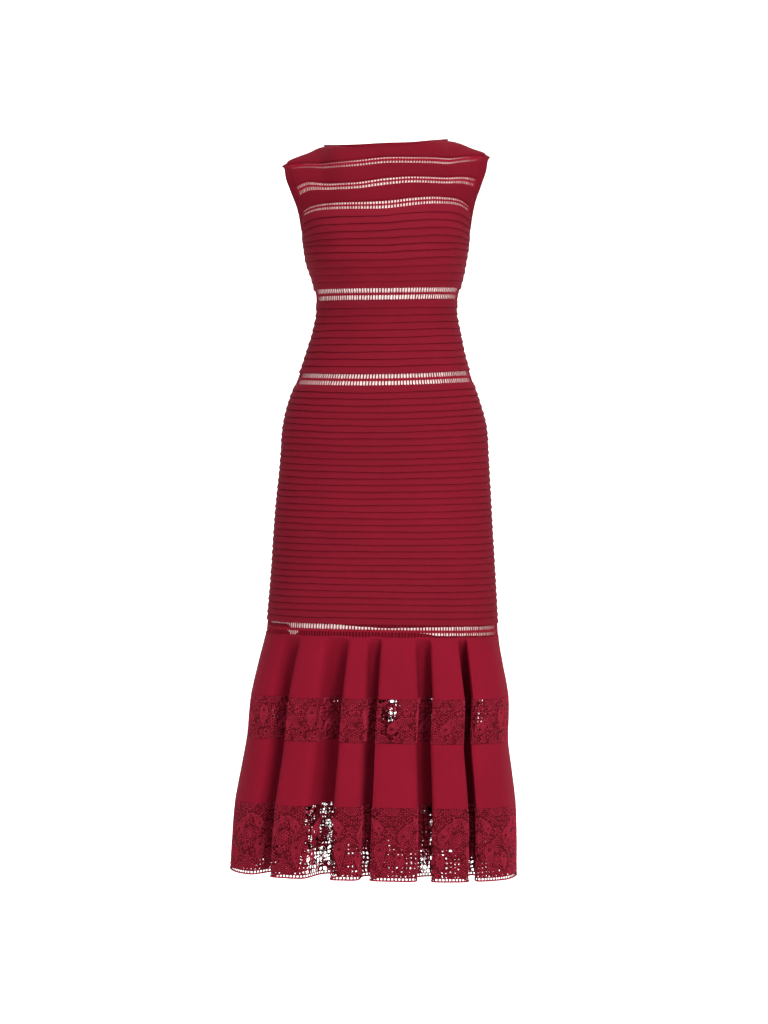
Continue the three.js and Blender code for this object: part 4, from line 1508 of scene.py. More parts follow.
@dataclass(frozen=True)
class FlounceForm:
    """The form of the flounce, whose folds deepen from the knee to the hem."""

    ease: float = 2
    crown: float = 5
    slope_reach: float = 0.42
    slope_depth: float = 0.8
    section_power: float = 2.2
    # height at the side, half width, depth of the front, depth of the back, middle, share of the folds' depth
    sections: Rows = (
        (-825, 199.2, 117.8, 124, -6.4, 0),
        (-845, 203.2, 120.3, 130, -7.2, 0.36),
        (-880, 210.5, 125, 142, -8.5, 0.6),
        (-933, 220.5, 131, 158, -10, 0.8),
        (-1008, 224, 136, 172, -14, 0.86),
        (-1060, 232, 141, 183, -15.5, 0.9),
        (-1117, 240.5, 146, 194, -17.5, 0.94),
        (-1236, 246, 152, 205, -21, 1),
    )
    folds: tuple[Fold, ...] = (
        Fold(4, 30, 52, 0.4),
        Fold(38, 58, 57, 0.42),
        Fold(66, 86, 52, 0.42),
        Fold(93, 116, 60, 0.4),
        Fold(123, 145, 55, 0.42),
        Fold(153, 179, 39, 0.36),
        Fold(187, 213.5, 52, 0.36),
        Fold(225.5, 242, 55, 0.4),
        Fold(253, 263.8, 44, 0.38),
        Fold(268.6, 286.5, 49, 0.4),
        Fold(293.2, 310.2, 55, 0.42),
        Fold(315, 354, 39, 0.34),
    )
    knee: Seam = Seam(-825, 3.1, 1, 3.1)
    tier_one_foot: Seam = Seam(-927, 5, 1, 2.6)
    lace_one_foot: Seam = Seam(-1002.5, 5.8, 2, 4.8)
    tier_two_foot: Seam = Seam(-1110, 9.5, 3, 4.2)
    hem: Seam = Seam(-1229.5, 9.2, 3, 6)

    def marks(self) -> Array:
        """Bearings at the seam and at the hem, and the way out, of each fold's five points."""
        found = []
        for here, after in zip(self.folds, self.folds[1:] + self.folds[:1]):
            next_start = after.start + (360 if after.start < here.end else 0)
            gap = next_start - here.end + 2 * self.ease
            middle = (here.start + here.end) / 2
            next_reach = after.tuck * (after.end - after.start)
            slope = lerp(here.end, next_start, self.slope_reach)
            found += [
                (here.start + self.ease, here.start, 0),
                (middle, middle, self.crown),
                (here.end - self.ease, here.end, 0),
                (here.end - self.ease + gap / 3, slope, -here.valley * self.slope_depth),
                (next_start + self.ease - gap / 3, next_start + next_reach, -here.valley),
            ]
        return np.array(found)

    def controls(self, foot: Seam, head: Seam, share: Array) -> Array:
        """The points of the folds, as rows from one seam up to another, all round."""
        marks = self.marks()
        z = lerp(foot.at_side, head.at_side, share)[:, None]
        fold = column(self.sections, 0, 5, z)
        a = np.radians(lerp(marks[:, 0], marks[:, 1], fold))
        cos, sin = np.cos(a), np.sin(a)
        half = column(self.sections, 0, 1, z)
        depth = np.where(sin < 0, column(self.sections, 0, 2, z), column(self.sections, 0, 3, z))
        arch = np.maximum(0, 1 - np.abs(cos) ** self.section_power) ** (1 / self.section_power)
        y = np.sign(sin) * depth * arch
        normal = unit(np.stack([cos / half, y / depth**2], -1))
        flat = np.stack([column(self.sections, 0, 4, z) + half * cos, y], -1)
        flat = flat + normal * (marks[:, 2] * fold)[..., None]
        rise_foot = np.where(sin < 0, foot.front, foot.back)
        rise_head = np.where(sin < 0, head.front, head.back)
        tilt = lerp(foot.tilt, head.tilt, share[:, None])
        height = z + lerp(rise_foot, rise_head, share[:, None]) * (1 - cos**2) - tilt * cos
        return np.concatenate([flat, height[..., None]], -1)

    def patch(self, foot: Seam, head: Seam, rows: int, columns: int) -> Patch:
        """The form between two seams, its columns even along the lower one."""
        controls = self.controls(foot, head, np.linspace(0, 1, rows))
        count = controls.shape[1]
        fine = np.linspace(0, count, count * 40, endpoint=False)
        line = loop_points(controls[:1], fine)[0]
        steps = np.linalg.norm(np.roll(line, -1, axis=0) - line, axis=1)
        along = np.concatenate([[0], np.cumsum(steps)])
        even = np.linspace(0, along[-1], columns, endpoint=False)
        at = np.interp(even, along, np.append(fine, count))
        return Patch(loop_points(controls, at), around=True)


def loop_points(controls: Array, at: Array, tension: float = 0.42) -> Array:
    """Reads smooth closed curves through rows of points.

    Args:
        controls: rows, points all round and x, y, z.
        at: places to read, counted in points.
        tension: how far each point pulls the curve along.

    Returns:
        Rows, places and x, y, z.
    """
    count = controls.shape[1]
    i = np.floor(at).astype(int) % count
    t = (at - np.floor(at))[None, :, None]
    before, here = controls[:, (i - 1) % count], controls[:, i]
    after, beyond = controls[:, (i + 1) % count], controls[:, (i + 2) % count]
    start, end = (after - before) * tension, (beyond - here) * tension
    t2, t3 = t**2, t**3
    return (
        (2 * t3 - 3 * t2 + 1) * here
        + (t3 - 2 * t2 + t) * start
        + (3 * t2 - 2 * t3) * after
        + (t3 - t2) * end
    )


@dataclass(frozen=True)
class PlainTier:
    """A plain tier of the flounce, its edges lapped over the trim or the lace."""

    node: str
    head: Seam
    foot: Seam
    columns: int = 480
    rows: int = 9
    wall: float = 1.1
    # distance up from the lower seam or down from the upper seam, and how far off the form
    hem_roll: Rows = ((-0.7, -0.3), (-1.1, 0.2), (-0.9, 0.7), (0.2, 0.9), (3.0, 0.6))
    head_roll: Rows = ((-1.0, -0.9), (-0.4, 0.0), (0.5, 0.6), (2.5, 0.6))

    def build(self, form: FlounceForm, finishes: Finishes, fitter: Fitter) -> None:
        """Makes the tier."""
        patch = form.patch(self.foot, self.head, self.rows * 2, self.columns)
        u = patch.columns(self.columns)
        tall = patch.height_at(u)
        rows = [(up / tall, out) for up, out in self.hem_roll]
        rows += [(share + 0 * u, 0.6) for share in np.linspace(0.06, 0.94, self.rows)]
        rows += [(1 - up / tall, out) for up, out in reversed(self.head_roll)]
        outer = np.array([patch.place(u, v, out) for v, out in rows])
        inner = np.array([patch.place(u, v, out - self.wall) for v, out in rows])
        maker = MeshMaker()
        maker.sheet(outer, inner, around=True)
        piece = maker.build(f"{self.node}_cloth", [finishes.flounce])
        fitter.fit(piece, (self.node,))
        flat = (float(patch.widths.max()), patch.height)
        fitter.declare(piece, flat, "gathered", area=patch.width * patch.height * MM**2)


@dataclass(frozen=True)
class HemCord:
    """The twisted cord along the hem."""

    node: str = "hem_cord"
    columns: int = 1300
    sides: int = 6
    radius: float = 1.5
    squeeze: float = 0.16
    turn: float = 10

    def build(self, form: FlounceForm, finishes: Finishes, fitter: Fitter) -> None:
        """Makes the cord."""
        patch = form.patch(form.hem, form.tier_two_foot, 3, 900)
        u = np.linspace(0, 1, self.columns, endpoint=False)
        path, normal = patch.look(u, 0 * u)
        path = path - np.array([0, 0, self.radius + 0.15])
        along = unit(np.roll(path, -1, axis=0) - np.roll(path, 1, axis=0))
        up = unit(np.cross(normal, along))
        length = float(patch.widths[0])
        phase = 2 * math.pi * u * round(length / self.turn)
        rings = []
        for k in range(self.sides):
            angle = 2 * math.pi * k / self.sides
            reach = self.radius * (1 + self.squeeze * np.cos(2 * (angle - phase)))[:, None]
            rings.append(path + (up * math.cos(angle) + normal * math.sin(angle)) * reach)
        maker = MeshMaker()
        rings = np.stack(rings, 1)
        maker.tube(rings, closed=True, flip=signed_volume(rings) < 0)
        piece = maker.build(f"{self.node}_twist", [finishes.hem_cord], sharp=80)
        fitter.fit(piece, (self.node,))


# ---------------------------------------------------------------- lace


@dataclass
class LaceChart:
    """One flat repeat of the lace, x across from 0 to width and y up from 0 to height."""

    width: float
    height: float
    step: float = 3.8
    cords: list[Array] = field(default_factory=list)
    bars: list[Array] = field(default_factory=list)
    solids: list[Array] = field(default_factory=list)
    claims: list[Array] = field(default_factory=list)

    def draw(self, line: Any) -> None:
        """Adds a raised cord along a line."""
        self.cords.append(np.asarray(line, float))

    def arc(self, x: float, y: float, radius: float, start: float, end: float) -> None:
        """Adds an arc, from one angle to another in degrees."""
        count = max(4, math.ceil(math.radians(abs(end - start)) * radius / self.step) + 1)
        a = np.radians(np.linspace(start, end, count))
        self.draw(np.stack([x + radius * np.cos(a), y + radius * np.sin(a)], -1))

    def claim(self, x: float, y: float, radius: float, solid: bool = False) -> None:
        """Keeps small curls out of a circle, and holes too where it is solid."""
        a = np.linspace(0, 2 * math.pi, 16, endpoint=False)
        ring = np.stack([x + radius * np.cos(a), y + radius * np.sin(a)], -1)
        self.claims.append(ring)
        if solid:
            self.solids.append(ring)

    def fan(self, x: float, y: float, radii: tuple[float, ...], start: float, end: float) -> None:
        """Adds a fan of arcs."""
        for radius in radii:
            self.arc(x, y, radius, start, end)
        self.claim(x, y, radii[-1])

    def drop(
        self, x: float, y: float, length: float, turn: float, curl: float, mirror: bool = False
    ) -> None:
        """Adds a curled drop of three outlines, with a small flower in its bowl."""
        outlines = []
        for size in (1.0, 0.76, 0.5):
            t = np.linspace(0, 2 * math.pi, max(12, int(length * size * 2.1 / self.step)))
            shape = np.stack([0.62 * np.sin(t) * np.sin(t / 2) ** 1.4, -np.cos(t)], -1) * length / 2
            line = shape * size + np.array([0, (1 - size) * length * 0.22])
            line[:, 0] += curl * ((line[:, 1] - length / 2) / length) ** 2 * length
            if mirror:
                line[:, 0] *= -1
            outlines.append(turned(line, turn) + np.array([x, y]))
            self.draw(outlines[-1])
        self.claims.append(outlines[0])
        self.solids.append(outlines[1])
        bowl = outlines[2].mean(0)
        self.flower(float(bowl[0]), float(bowl[1]), length * 0.1, 5)

    def flower(self, x: float, y: float, radius: float, petals: int, turn: float = 0) -> None:
        """Adds a flower of outlined petals."""
        for k in range(petals):
            angle = turn + 360 * k / petals
            start = turned(np.array([[radius * 0.22, 0]]), angle)[0] + np.array([x, y])
            self.leaf(start, angle, radius * 0.85, radius * 0.6)
        self.claim(x, y, radius * 1.1, solid=True)

    def leaf(self, start: Array, turn: float, length: float, width: float) -> None:
        """Adds the outline of a leaf or petal."""
        t = np.linspace(0, math.pi, max(4, math.ceil(length / self.step) + 1))
        side = np.stack([length * (1 - np.cos(t)) / 2, width / 2 * np.sin(t)], -1)
        line = np.concatenate([side, side[::-1][1:] * np.array([1, -1])])
        self.draw(turned(line, turn) + start)

    def scroll(self, x: float, y: float, radius: float, turn: float, mirror: bool = False) -> None:
        """Adds a scroll that winds inwards, with three leaves on its back."""
        t = np.linspace(0, 1, max(10, int(radius * 7 / self.step)))
        a = t * 1.6 * 2 * math.pi
        reach = radius * (1 - 0.82 * t)
        line = np.stack([reach * np.cos(a), reach * np.sin(a)], -1)
        if mirror:
            line[:, 1] *= -1
        at = np.array([x, y])
        self.draw(turned(line, turn) + at)
        for share in (0.06, 0.16, 0.27):
            k = int(share * (len(t) - 1))
            outward = math.degrees(math.atan2(line[k, 1], line[k, 0])) + turn
            self.leaf(turned(line[k : k + 1], turn)[0] + at, outward, radius * 0.55, radius * 0.26)
        self.claim(x, y, radius * 1.3)

    def sprig(self, x: float, y: float, length: float, turn: float, bend: float) -> None:
        """Adds a bent stem with pairs of leaves."""
        t = np.linspace(0, 1, max(5, int(length / self.step)))
        stem = turned(np.stack([t * length, bend * length * t * (1 - t)], -1), turn) + np.array([x, y])
        self.draw(stem)
        for share in (0.3, 0.62, 0.95):
            root = stem[min(int(share * len(t)), len(t) - 1)]
            for lean in (42, -42) if share < 0.9 else (0,):
                self.leaf(root, turn + lean, length * 0.26, length * 0.14)
        self.claims.append(np.concatenate([stem + np.array([2.5, 0]), stem[::-1] - np.array([2.5, 0])]))

    def curls(self, pitch: float, foot: float, seed: int) -> None:
        """Fills what is left with small open curls."""
        draw = np.random.default_rng(seed)
        columns = round(self.width / pitch)
        rows = int((self.height - foot) / (pitch * 0.87))
        for j in range(rows):
            for i in range(columns):
                x = (i + (j % 2) / 2 + 0.25) * self.width / columns
                y = foot + (j + 0.5) * (self.height - foot) / rows
                turn = float(draw.uniform(0, 360))
                radius = pitch * float(draw.uniform(0.3, 0.42))
                if not self.within(self.claims, np.array([x, y])):
                    self.arc(x, y, radius, turn, turn + 280)

    def edge(self, y: float) -> None:
        """Adds a straight cord across the whole repeat."""
        count = round(self.width / self.step) + 1
        self.draw(np.stack([np.linspace(0, self.width, count), np.full(count, y)], -1))

    def within(self, rings: list[Array], point: Array) -> bool:
        """Whether a point lies inside any of some outlines, in this repeat or its neighbours."""
        shifts = (-self.width, 0, self.width)
        return any(inside(point + np.array([shift, 0]), ring) for ring in rings for shift in shifts)


def turned(line: Array, angle: float) -> Array:
    """Turns flat points about the origin by an angle in degrees."""
    a = math.radians(angle)
    return line @ np.array([[math.cos(a), math.sin(a)], [-math.sin(a), math.cos(a)]])


def inside(point: Array, ring: Array) -> bool:
    """Whether a flat point lies inside a closed outline."""
    a, b = ring, np.roll(ring, -1, axis=0)
    above = (a[:, 1] > point[1]) != (b[:, 1] > point[1])
    with np.errstate(divide="ignore", invalid="ignore"):
        cross = a[:, 0] + (point[1] - a[:, 1]) * (b[:, 0] - a[:, 0]) / (b[:, 1] - a[:, 1])
    return bool(np.count_nonzero(above & (point[0] < cross)) % 2)


def band_chart(width: float, height: float) -> LaceChart:
    """The chart of the upper lace band: drops, fans, flowers and scrolls among small curls."""
    chart = LaceChart(width, height)
    chart.drop(17, 42, 36, -22, 0.34)
    chart.drop(63, 33, 34, 160, 0.32, mirror=True)
    chart.fan(41, 0, (3.5, 6.5, 9.5, 12.5, 15.5), 8, 172)
    chart.fan(84, height, (4, 7, 10, 13), 190, 350)
    chart.fan(40, height, (3.5, 6.5, 9.5, 12.5), 192, 348)
    chart.fan(2, 0, (3.5, 6.5, 9.5), 8, 172)
    chart.fan(86, 34, (3, 6, 9), 20, 290)
    chart.flower(39, 29, 7.5, 6, 30)
    chart.scroll(70, 7, 6, 80)
    chart.scroll(20, 13, 6.5, 30, mirror=True)
    chart.scroll(60, 63, 6, 200)
    chart.scroll(1, 60, 6.5, -60, mirror=True)
    chart.sprig(82, 46, 15, 96, 0.25)
    chart.sprig(36, 41, 15, 75, -0.3)
    chart.curls(7.4, 0.5, seed=5)
    return chart


def hem_chart(width: float, height: float, row: float = 2.8) -> LaceChart:
    """The chart of the hem lace, over an open row of bars along the hem."""
    chart = LaceChart(width, height, step=4.8)
    chart.drop(21, 40, 40, -18, 0.34)
    chart.drop(65, 82, 40, 164, 0.32, mirror=True)
    chart.drop(61, 30, 30, 24, -0.3)
    chart.drop(20, 92, 30, 200, 0.3)
    chart.fan(41, row + 1, (4, 7.2, 10.4, 13.6), 8, 172)
    chart.fan(86, row + 1, (4, 7.2, 10.4, 13.6, 16.8), 8, 172)
    chart.fan(43, height, (4, 7.2, 10.4, 13.6), 190, 350)
    chart.fan(87, height, (4, 7.2, 10.4), 190, 350)
    chart.fan(42, 57, (3.6, 6.8, 10), 10, 300)
    chart.fan(84, 66, (3.6, 6.8, 10), 120, 400)
    chart.flower(42, 33, 7.5, 6, 15)
    chart.flower(2, 70, 8, 6, 30)
    chart.scroll(84, 44, 6.5, 40)
    chart.scroll(43, 82, 6.5, -70, mirror=True)
    chart.scroll(3, 98, 6, -70, mirror=True)
    chart.scroll(3, 27, 6, 100)
    chart.scroll(22, 68, 6, 20)
    chart.scroll(62, 53, 6, 150, mirror=True)
    chart.sprig(84, 86, 16, 98, -0.3)
    chart.edge(row + 0.6)
    chart.curls(8.6, row + 1.5, seed=6)
    bars = 15
    for k in range(bars):
        x = (k + 0.5) * width / bars
        chart.bars.append(np.array([[x, -0.8], [x, row / 2], [x, row + 0.4]]))
    return chart


@dataclass(frozen=True)
class Sheer:
    """A stretch where the lace hangs single and open, from one x to another, at the front and behind it."""

    start: float
    end: float
    hole: float
    behind: float = 1.09

    def covers(self, points: Array) -> Array:
        """Whether each point lies in it."""
        x = points[..., 0] / np.where(points[..., 1] > 0, self.behind, 1)
        return (x > self.start) & (x < self.end)


@dataclass(frozen=True)
class LaceBand:
    """A band of lace round the flounce: an openwork ground with raised cords worked from a flat chart."""

    node: str
    head: Seam
    foot: Seam
    chart_of: Callable[[float, float], LaceChart]
    sheers: tuple[Sheer, ...]
    seed: int
    bar_row: float = 0
    repeat: float = 88
    columns: int = 1200
    rows: int = 14
    cell: float = 7.0
    jitter: float = 0.38
    hole: tuple[float, float] = (0.2, 0.52)
    shut: float = 0.18
    ground_lift: float = -0.15
    ground_wall: float = 0.5
    cord_width: float = 1.5
    cord_height: float = 1.05
    bar_width: float = 2.6
    # in the most open stretches, threads with fewer points are left out
    main_points: int = 7
    open_hole: float = 0.9

    def build(self, form: FlounceForm, finishes: Finishes, fitter: Fitter) -> None:
        """Makes the ground and the cords."""
        patch = form.patch(self.foot, self.head, self.rows, self.columns)
        repeats = round(patch.width / self.repeat)
        chart = self.chart_of(patch.width / repeats, patch.height)
        sheet = self.make_ground(patch, chart, repeats)
        # the ground takes the darker thread, painted shade
        ground = sheet.build(f"{self.node}_ground", [finishes.lace_ground_painted_shade], 80)
        fitter.fit(ground, (self.node,))
        area = patch.width * (patch.height - self.bar_row) * MM**2
        fitter.declare(ground, (float(patch.widths.max()), patch.height), "gathered", area=area)
        maker = MeshMaker()
        # the cords take the lighter thread as painted highlight, and the bars the darker one as painted shade
        for line in chart.cords:
            self.lay(maker, patch, chart, repeats, line, self.cord_width, 0)
        for line in chart.bars:
            self.lay(maker, patch, chart, repeats, line, self.bar_width, 1)
        cords = maker.build(f"{self.node}_cords", [finishes.lace_cord_painted_highlight, finishes.lace_ground_painted_shade], 80)
        fitter.fit(cords)

    def lay(
        self,
        maker: MeshMaker,
        patch: Patch,
        chart: LaceChart,
        repeats: int,
        line: Array,
        width: float,
        finish: int,
    ) -> None:
        """Lays a thread of the chart on every repeat of the band."""
        u = (np.arange(repeats)[:, None] + line[None, :, 0] / chart.width) / repeats
        v = np.broadcast_to(line[None, :, 1] / chart.height, u.shape)
        path, normal = patch.look(u, v)
        if len(line) < self.main_points and not finish:
            bare = [sheer.covers(path.mean(1)) for sheer in self.sheers if sheer.hole > self.open_hole]
            kept = ~np.any(bare, axis=0)
            path, normal = path[kept], normal[kept]
        maker.threads(path + normal * self.ground_lift, normal, width, self.cord_height, finish)

    def make_ground(self, patch: Patch, chart: LaceChart, repeats: int) -> MeshMaker:
        """Makes the ground: a thin sheet of uneven cells, most of them with a hole.

        Args:
            patch: the form of the band.
            chart: its chart, whose solid outlines have no holes.
            repeats: how many repeats go round.

        Returns:
            The mesh, not yet built.
        """
        draw = np.random.default_rng(self.seed)
        across, up = round(chart.width / self.cell), round((chart.height - self.bar_row) / self.cell)
        count = across * repeats
        foot = self.bar_row / chart.height
        shift = draw.uniform(-self.jitter, self.jitter, (2, up + 1, count))
        shift[1, [0, -1]] = 0
        corner_u = (np.arange(count)[None] + shift[0]) / count
        corner_v = lerp(foot, 1, (np.arange(up + 1)[:, None] + shift[1]) / up)
        j, i = np.mgrid[0:up, 0:count]
        k = (i + 1) % count
        wrap = (i + 1 == count) * 1.0
        right_u = (corner_u[j, k] + wrap, corner_u[j + 1, k] + wrap)
        cell_u = np.stack([corner_u[j, i], *right_u, corner_u[j + 1, i]], -1)
        cell_v = np.stack([corner_v[j, i], corner_v[j, k], corner_v[j + 1, k], corner_v[j + 1, i]], -1)
        size = self.hole_sizes(patch, chart, across, cell_u.mean(-1), cell_v.mean(-1), draw)
        spin = draw.uniform(0, 1, size.shape)[..., None]
        stretch = draw.uniform(0.75, 1.2, (*size.shape, 2))
        edges = []
        for cell, wide in ((cell_u, stretch[..., :1]), (cell_v, stretch[..., 1:])):
            away = cell - cell.mean(-1, keepdims=True)
            away = lerp(away, np.roll(away, -1, axis=-1), spin)
            edges.append(cell.mean(-1, keepdims=True) + away * size[..., None] * wide)
        open_cells = size > 0
        index = np.stack([j * count + i, j * count + k, (j + 1) * count + k, (j + 1) * count + i], -1)
        return self.ground_mesh(patch, corner_u, corner_v, index, edges, open_cells)

    def hole_sizes(
        self, patch: Patch, chart: LaceChart, across: int, u: Array, v: Array, draw: np.random.Generator
    ) -> Array:
        """The size of each cell's hole as a share of the cell, 0 where it is solid."""
        size = lerp(*self.hole, draw.uniform(0, 1, u.shape) ** 1.4)
        tile_x = (np.arange(across) + 0.5) * chart.width / across
        tile_y = v[:, 0] * chart.height
        solid = np.array([[chart.within(chart.solids, np.array([x, y])) for x in tile_x] for y in tile_y])
        solid = np.tile(solid, u.shape[1] // across) | (draw.uniform(0, 1, u.shape) < self.shut)
        size = np.where(solid, 0, size)
        points = patch.look(u, v)[0]
        for sheer in self.sheers:
            wide = np.minimum(sheer.hole * draw.uniform(0.88, 1.1, u.shape), 0.97)
            size = np.where(sheer.covers(points), wide, size)
        return size

    def ground_mesh(
        self,
        patch: Patch,
        corner_u: Array,
        corner_v: Array,
        index: Array,
        edges: list[Array],
        open_cells: Array,
    ) -> MeshMaker:
        """Joins the cells into one closed sheet.

        Args:
            patch: the form of the band.
            corner_u: the corners' places across, by row and column.
            corner_v: their places up.
            index: the numbers of each cell's corners.
            edges: the places across and up of each cell's hole.
            open_cells: which cells have a hole.

        Returns:
            The mesh, not yet built.
        """
        maker = MeshMaker()
        corners, holes = corner_u.size, int(open_cells.sum())
        hole_u, hole_v = (edge[open_cells] for edge in edges)
        total = corners + holes * 4
        for lift in (self.ground_lift, self.ground_lift - self.ground_wall):
            rim = patch.place(corner_u, corner_v, lift).reshape(-1, 3)
            mouth = patch.place(hole_u, hole_v, lift).reshape(-1, 3)
            maker.add(np.concatenate([rim, mouth]), np.zeros((0, 4)))
        mouth = corners + np.arange(holes * 4).reshape(holes, 4)
        rim = index[open_cells]
        for a in range(4):
            b = (a + 1) % 4
            face = np.stack([rim[:, a], rim[:, b], mouth[:, b], mouth[:, a]], -1)
            maker.add_faces(face, 0)
            maker.add_faces(face[:, ::-1] + total, 0)
            side = np.stack([mouth[:, a], mouth[:, b], mouth[:, b] + total, mouth[:, a] + total], -1)
            maker.add_faces(side, 0)
        whole = index[~open_cells]
        maker.add_faces(whole, 0)
        maker.add_faces(whole[:, ::-1] + total, 0)
        low, high = index[0, :, :2], index[-1, :, 2:]
        for edge in (low, high):
            a, b = edge.T
            maker.add_faces(np.stack([a, a + total, b + total, b], -1), 0)
        return maker


# ---------------------------------------------------------------- zip


@dataclass(frozen=True)
class Zip:
    """The concealed zip in the centre back seam: tape and coil inside, slider and pull tab outside."""

    foot: float = -470
    head: float = -12
    rows: int = 80
    tape_half: float = 11
    tape_drop: float = 2.2
    tape_wall: float = 0.7
    coil_pitch: float = 2.0
    coil_half: float = 1.8
    slider_z: float = -6
    slider: tuple[float, float, float] = (5, 9, 1.8)
    stand: float = 0.4
    tab: tuple[float, float, float] = (4, 20, 1)
    pivot_share: float = 0.35
    pivot_end: float = 0.5

    def build(self, cut: BodyCut, finishes: Finishes, fitter: Fitter) -> None:
        """Makes the tape, the slider and the tab."""
        self.make_tape(cut, finishes, fitter)
        axes = self.axes(cut.form)
        self.make_slider(axes, finishes, fitter)
        self.make_tab(axes, finishes, fitter)

    def axes(self, form: BodyForm) -> tuple[Array, Array]:
        """The slider's top on the cloth, and its directions across, down and out."""
        middle = np.float64(0)
        out = form.normal(Side.BACK, middle, self.slider_z)
        top = form.point(Side.BACK, middle, self.slider_z) + out * self.stand
        down = form.point(Side.BACK, middle, self.slider_z - 10)
        down = down - form.point(Side.BACK, middle, self.slider_z)
        down = unit(down - out * (down @ out))
        return top, np.array([unit(np.cross(down, out)), down, out])

    def make_tape(self, cut: BodyCut, finishes: Finishes, fitter: Fitter) -> None:
        """Makes both halves of the tape and the coil between them."""
        reach = 0.12
        s = np.linspace(-reach, reach, 41)[None]
        z = np.linspace(self.foot, self.head, self.rows)[:, None]
        patch = even_rows(Patch(cut.form.point(Side.BACK, s, z), outward=-1))
        half = self.tape_half / patch.width
        v = np.linspace(0, 1, self.rows)[:, None]
        maker = MeshMaker()
        for start, end in ((0.5 - half, 0.5 - 0.4 / patch.width), (0.5 + 0.4 / patch.width, 0.5 + half)):
            u = np.linspace(start, end, 5)[None]
            outer = patch.place(u, v, -self.tape_drop)
            inner = patch.place(u, v, -self.tape_drop - self.tape_wall)
            maker.sheet(outer, inner, flip=True)
        count = int(patch.height / self.coil_pitch)
        at = ((np.arange(count) + 0.5) / count)[:, None]
        swing = np.array([-1, -0.4, 0.4, 1]) * self.coil_half / patch.width
        lean = np.array([-0.5, -0.2, 0.2, 0.5]) * self.coil_pitch / patch.height
        path, normal = patch.look(0.5 + swing[None], at + lean)
        path = path - normal * (self.tape_drop + self.tape_wall + 0.35)
        maker.threads(path, normal, 1.1, 0.9, 1, HEXAGON)
        piece = maker.build("zip_tape_and_coil", [finishes.tape, finishes.stitch])
        fitter.fit(piece, ("zip_tape",))

    def set_down(self, local: Array, axes: tuple[Array, Array]) -> Array:
        """Turns points across, down and out from the slider's top into the dress's frame."""
        top, directions = axes
        return top + local @ directions

    def make_slider(self, axes: tuple[Array, Array], finishes: Finishes, fitter: Fitter) -> None:
        """Makes the slider with its bail."""
        width, length, thick = self.slider
        maker = MeshMaker()
        bevel = ((0.5, 0.0), (0.15, 0.12), (0.0, 0.4), (0.0, thick - 0.5), (0.18, thick - 0.14), (0.6, thick))
        rings = []
        for inset, level in bevel:
            flat = stadium(width / 2 - inset, length - 2 * inset, 7) + np.array([0, inset])
            rings.append(np.concatenate([flat, np.full((len(flat), 1), level)], 1))
        solid = self.set_down(np.array(rings), axes)
        maker.tube(solid, flip=True)
        pivot = length * self.pivot_share
        a = np.radians(np.linspace(0, 180, 13))
        rise = thick + self.stand + self.tab[2] / 2
        crown = thick - 0.3 + (rise + 1.4 - thick + 0.3) * np.sin(a)
        arch = np.stack([0 * a, pivot - 2.1 * np.cos(a), crown], -1)
        path = self.set_down(arch, axes)
        out = np.stack([0 * a, -np.cos(a), np.sin(a)], -1) @ axes[1]
        maker.threads(path[None], out[None], 1.3, 0.7, 0, HEXAGON)
        piece = maker.build("zip_slider_body", [finishes.metal], sharp=40)
        fitter.fit(piece, ("zip_slider",))

    def make_tab(self, axes: tuple[Array, Array], finishes: Finishes, fitter: Fitter) -> None:
        """Makes the pull tab: a bevelled plate with a slot for the bail and an eye at its foot."""
        width, length, thick = self.tab
        bevel = 0.16
        start = self.slider[1] * self.pivot_share - self.pivot_end
        outline = [[-width / 2, 0.0], [width / 2, 0.0]]
        a = np.radians(np.linspace(0, 180, 17))
        foot = length - width / 2
        outline += [[width / 2 * math.cos(t), foot + width / 2 * math.sin(t)] for t in a]
        slot = stadium(0.95, 2.9, 6) + np.array([0, 1.0])
        turn = np.radians(np.linspace(0, 360, 16, endpoint=False))
        eye = np.stack([np.cos(turn), foot + np.sin(turn)], -1)
        plate = plate_mesh("pull_tab_shape", [np.array(outline), slot, eye], thick, bevel)
        points = np.zeros(len(plate.vertices) * 3)
        plate.vertices.foreach_get("co", points)
        local = points.reshape(-1, 3) + np.array([0, start, self.slider[2] + self.stand + thick / 2])
        plate.vertices.foreach_set("co", (self.set_down(local, axes) * MM).ravel())
        plate.update()
        plate.materials.append(finishes.metal)
        piece = bpy.data.objects.new("zip_pull_tab_plate", plate)
        bpy.context.scene.collection.objects.link(piece)
        fitter.fit(piece, ("zip_pull_tab",), PULL_TAB)


def stadium(radius: float, length: float, count: int) -> Array:
    """A flat outline with round ends, from y = 0 to its length."""
    low = np.radians(np.linspace(180, 360, count))
    high = np.radians(np.linspace(0, 180, count))
    foot = np.stack([radius * np.cos(low), radius + radius * np.sin(low)], -1)
    head = np.stack([radius * np.cos(high), length - radius + radius * np.sin(high)], -1)
    return np.concatenate([foot, head])


def plate_mesh(name: str, outlines: list[Array], thick: float, bevel: float) -> bpy.types.Mesh:
    """Makes a bevelled plate, in the plane of x and y, from its outline and the outlines of its holes."""
    curve = bpy.data.curves.new(name, "CURVE")
    curve.dimensions = "2D"
    curve.fill_mode = "BOTH"
    curve.extrude = thick / 2 - bevel
    curve.bevel_depth = bevel
    curve.offset = -bevel
    curve.bevel_resolution = 2
    for outline in outlines:
        spline = curve.splines.new("POLY")
        spline.points.add(len(outline) - 1)
        for point, (x, y) in zip(spline.points, outline):
            point.co = (x, y, 0, 1)
        spline.use_cyclic_u = True
    holder = bpy.data.objects.new(name, curve)
    bpy.context.scene.collection.objects.link(holder)
    bpy.context.view_layer.update()
    mesh = bpy.data.meshes.new_from_object(holder.evaluated_get(bpy.context.evaluated_depsgraph_get()))
    bpy.data.objects.remove(holder)
    mesh.name = name
    return mesh


# ---------------------------------------------------------------- studio


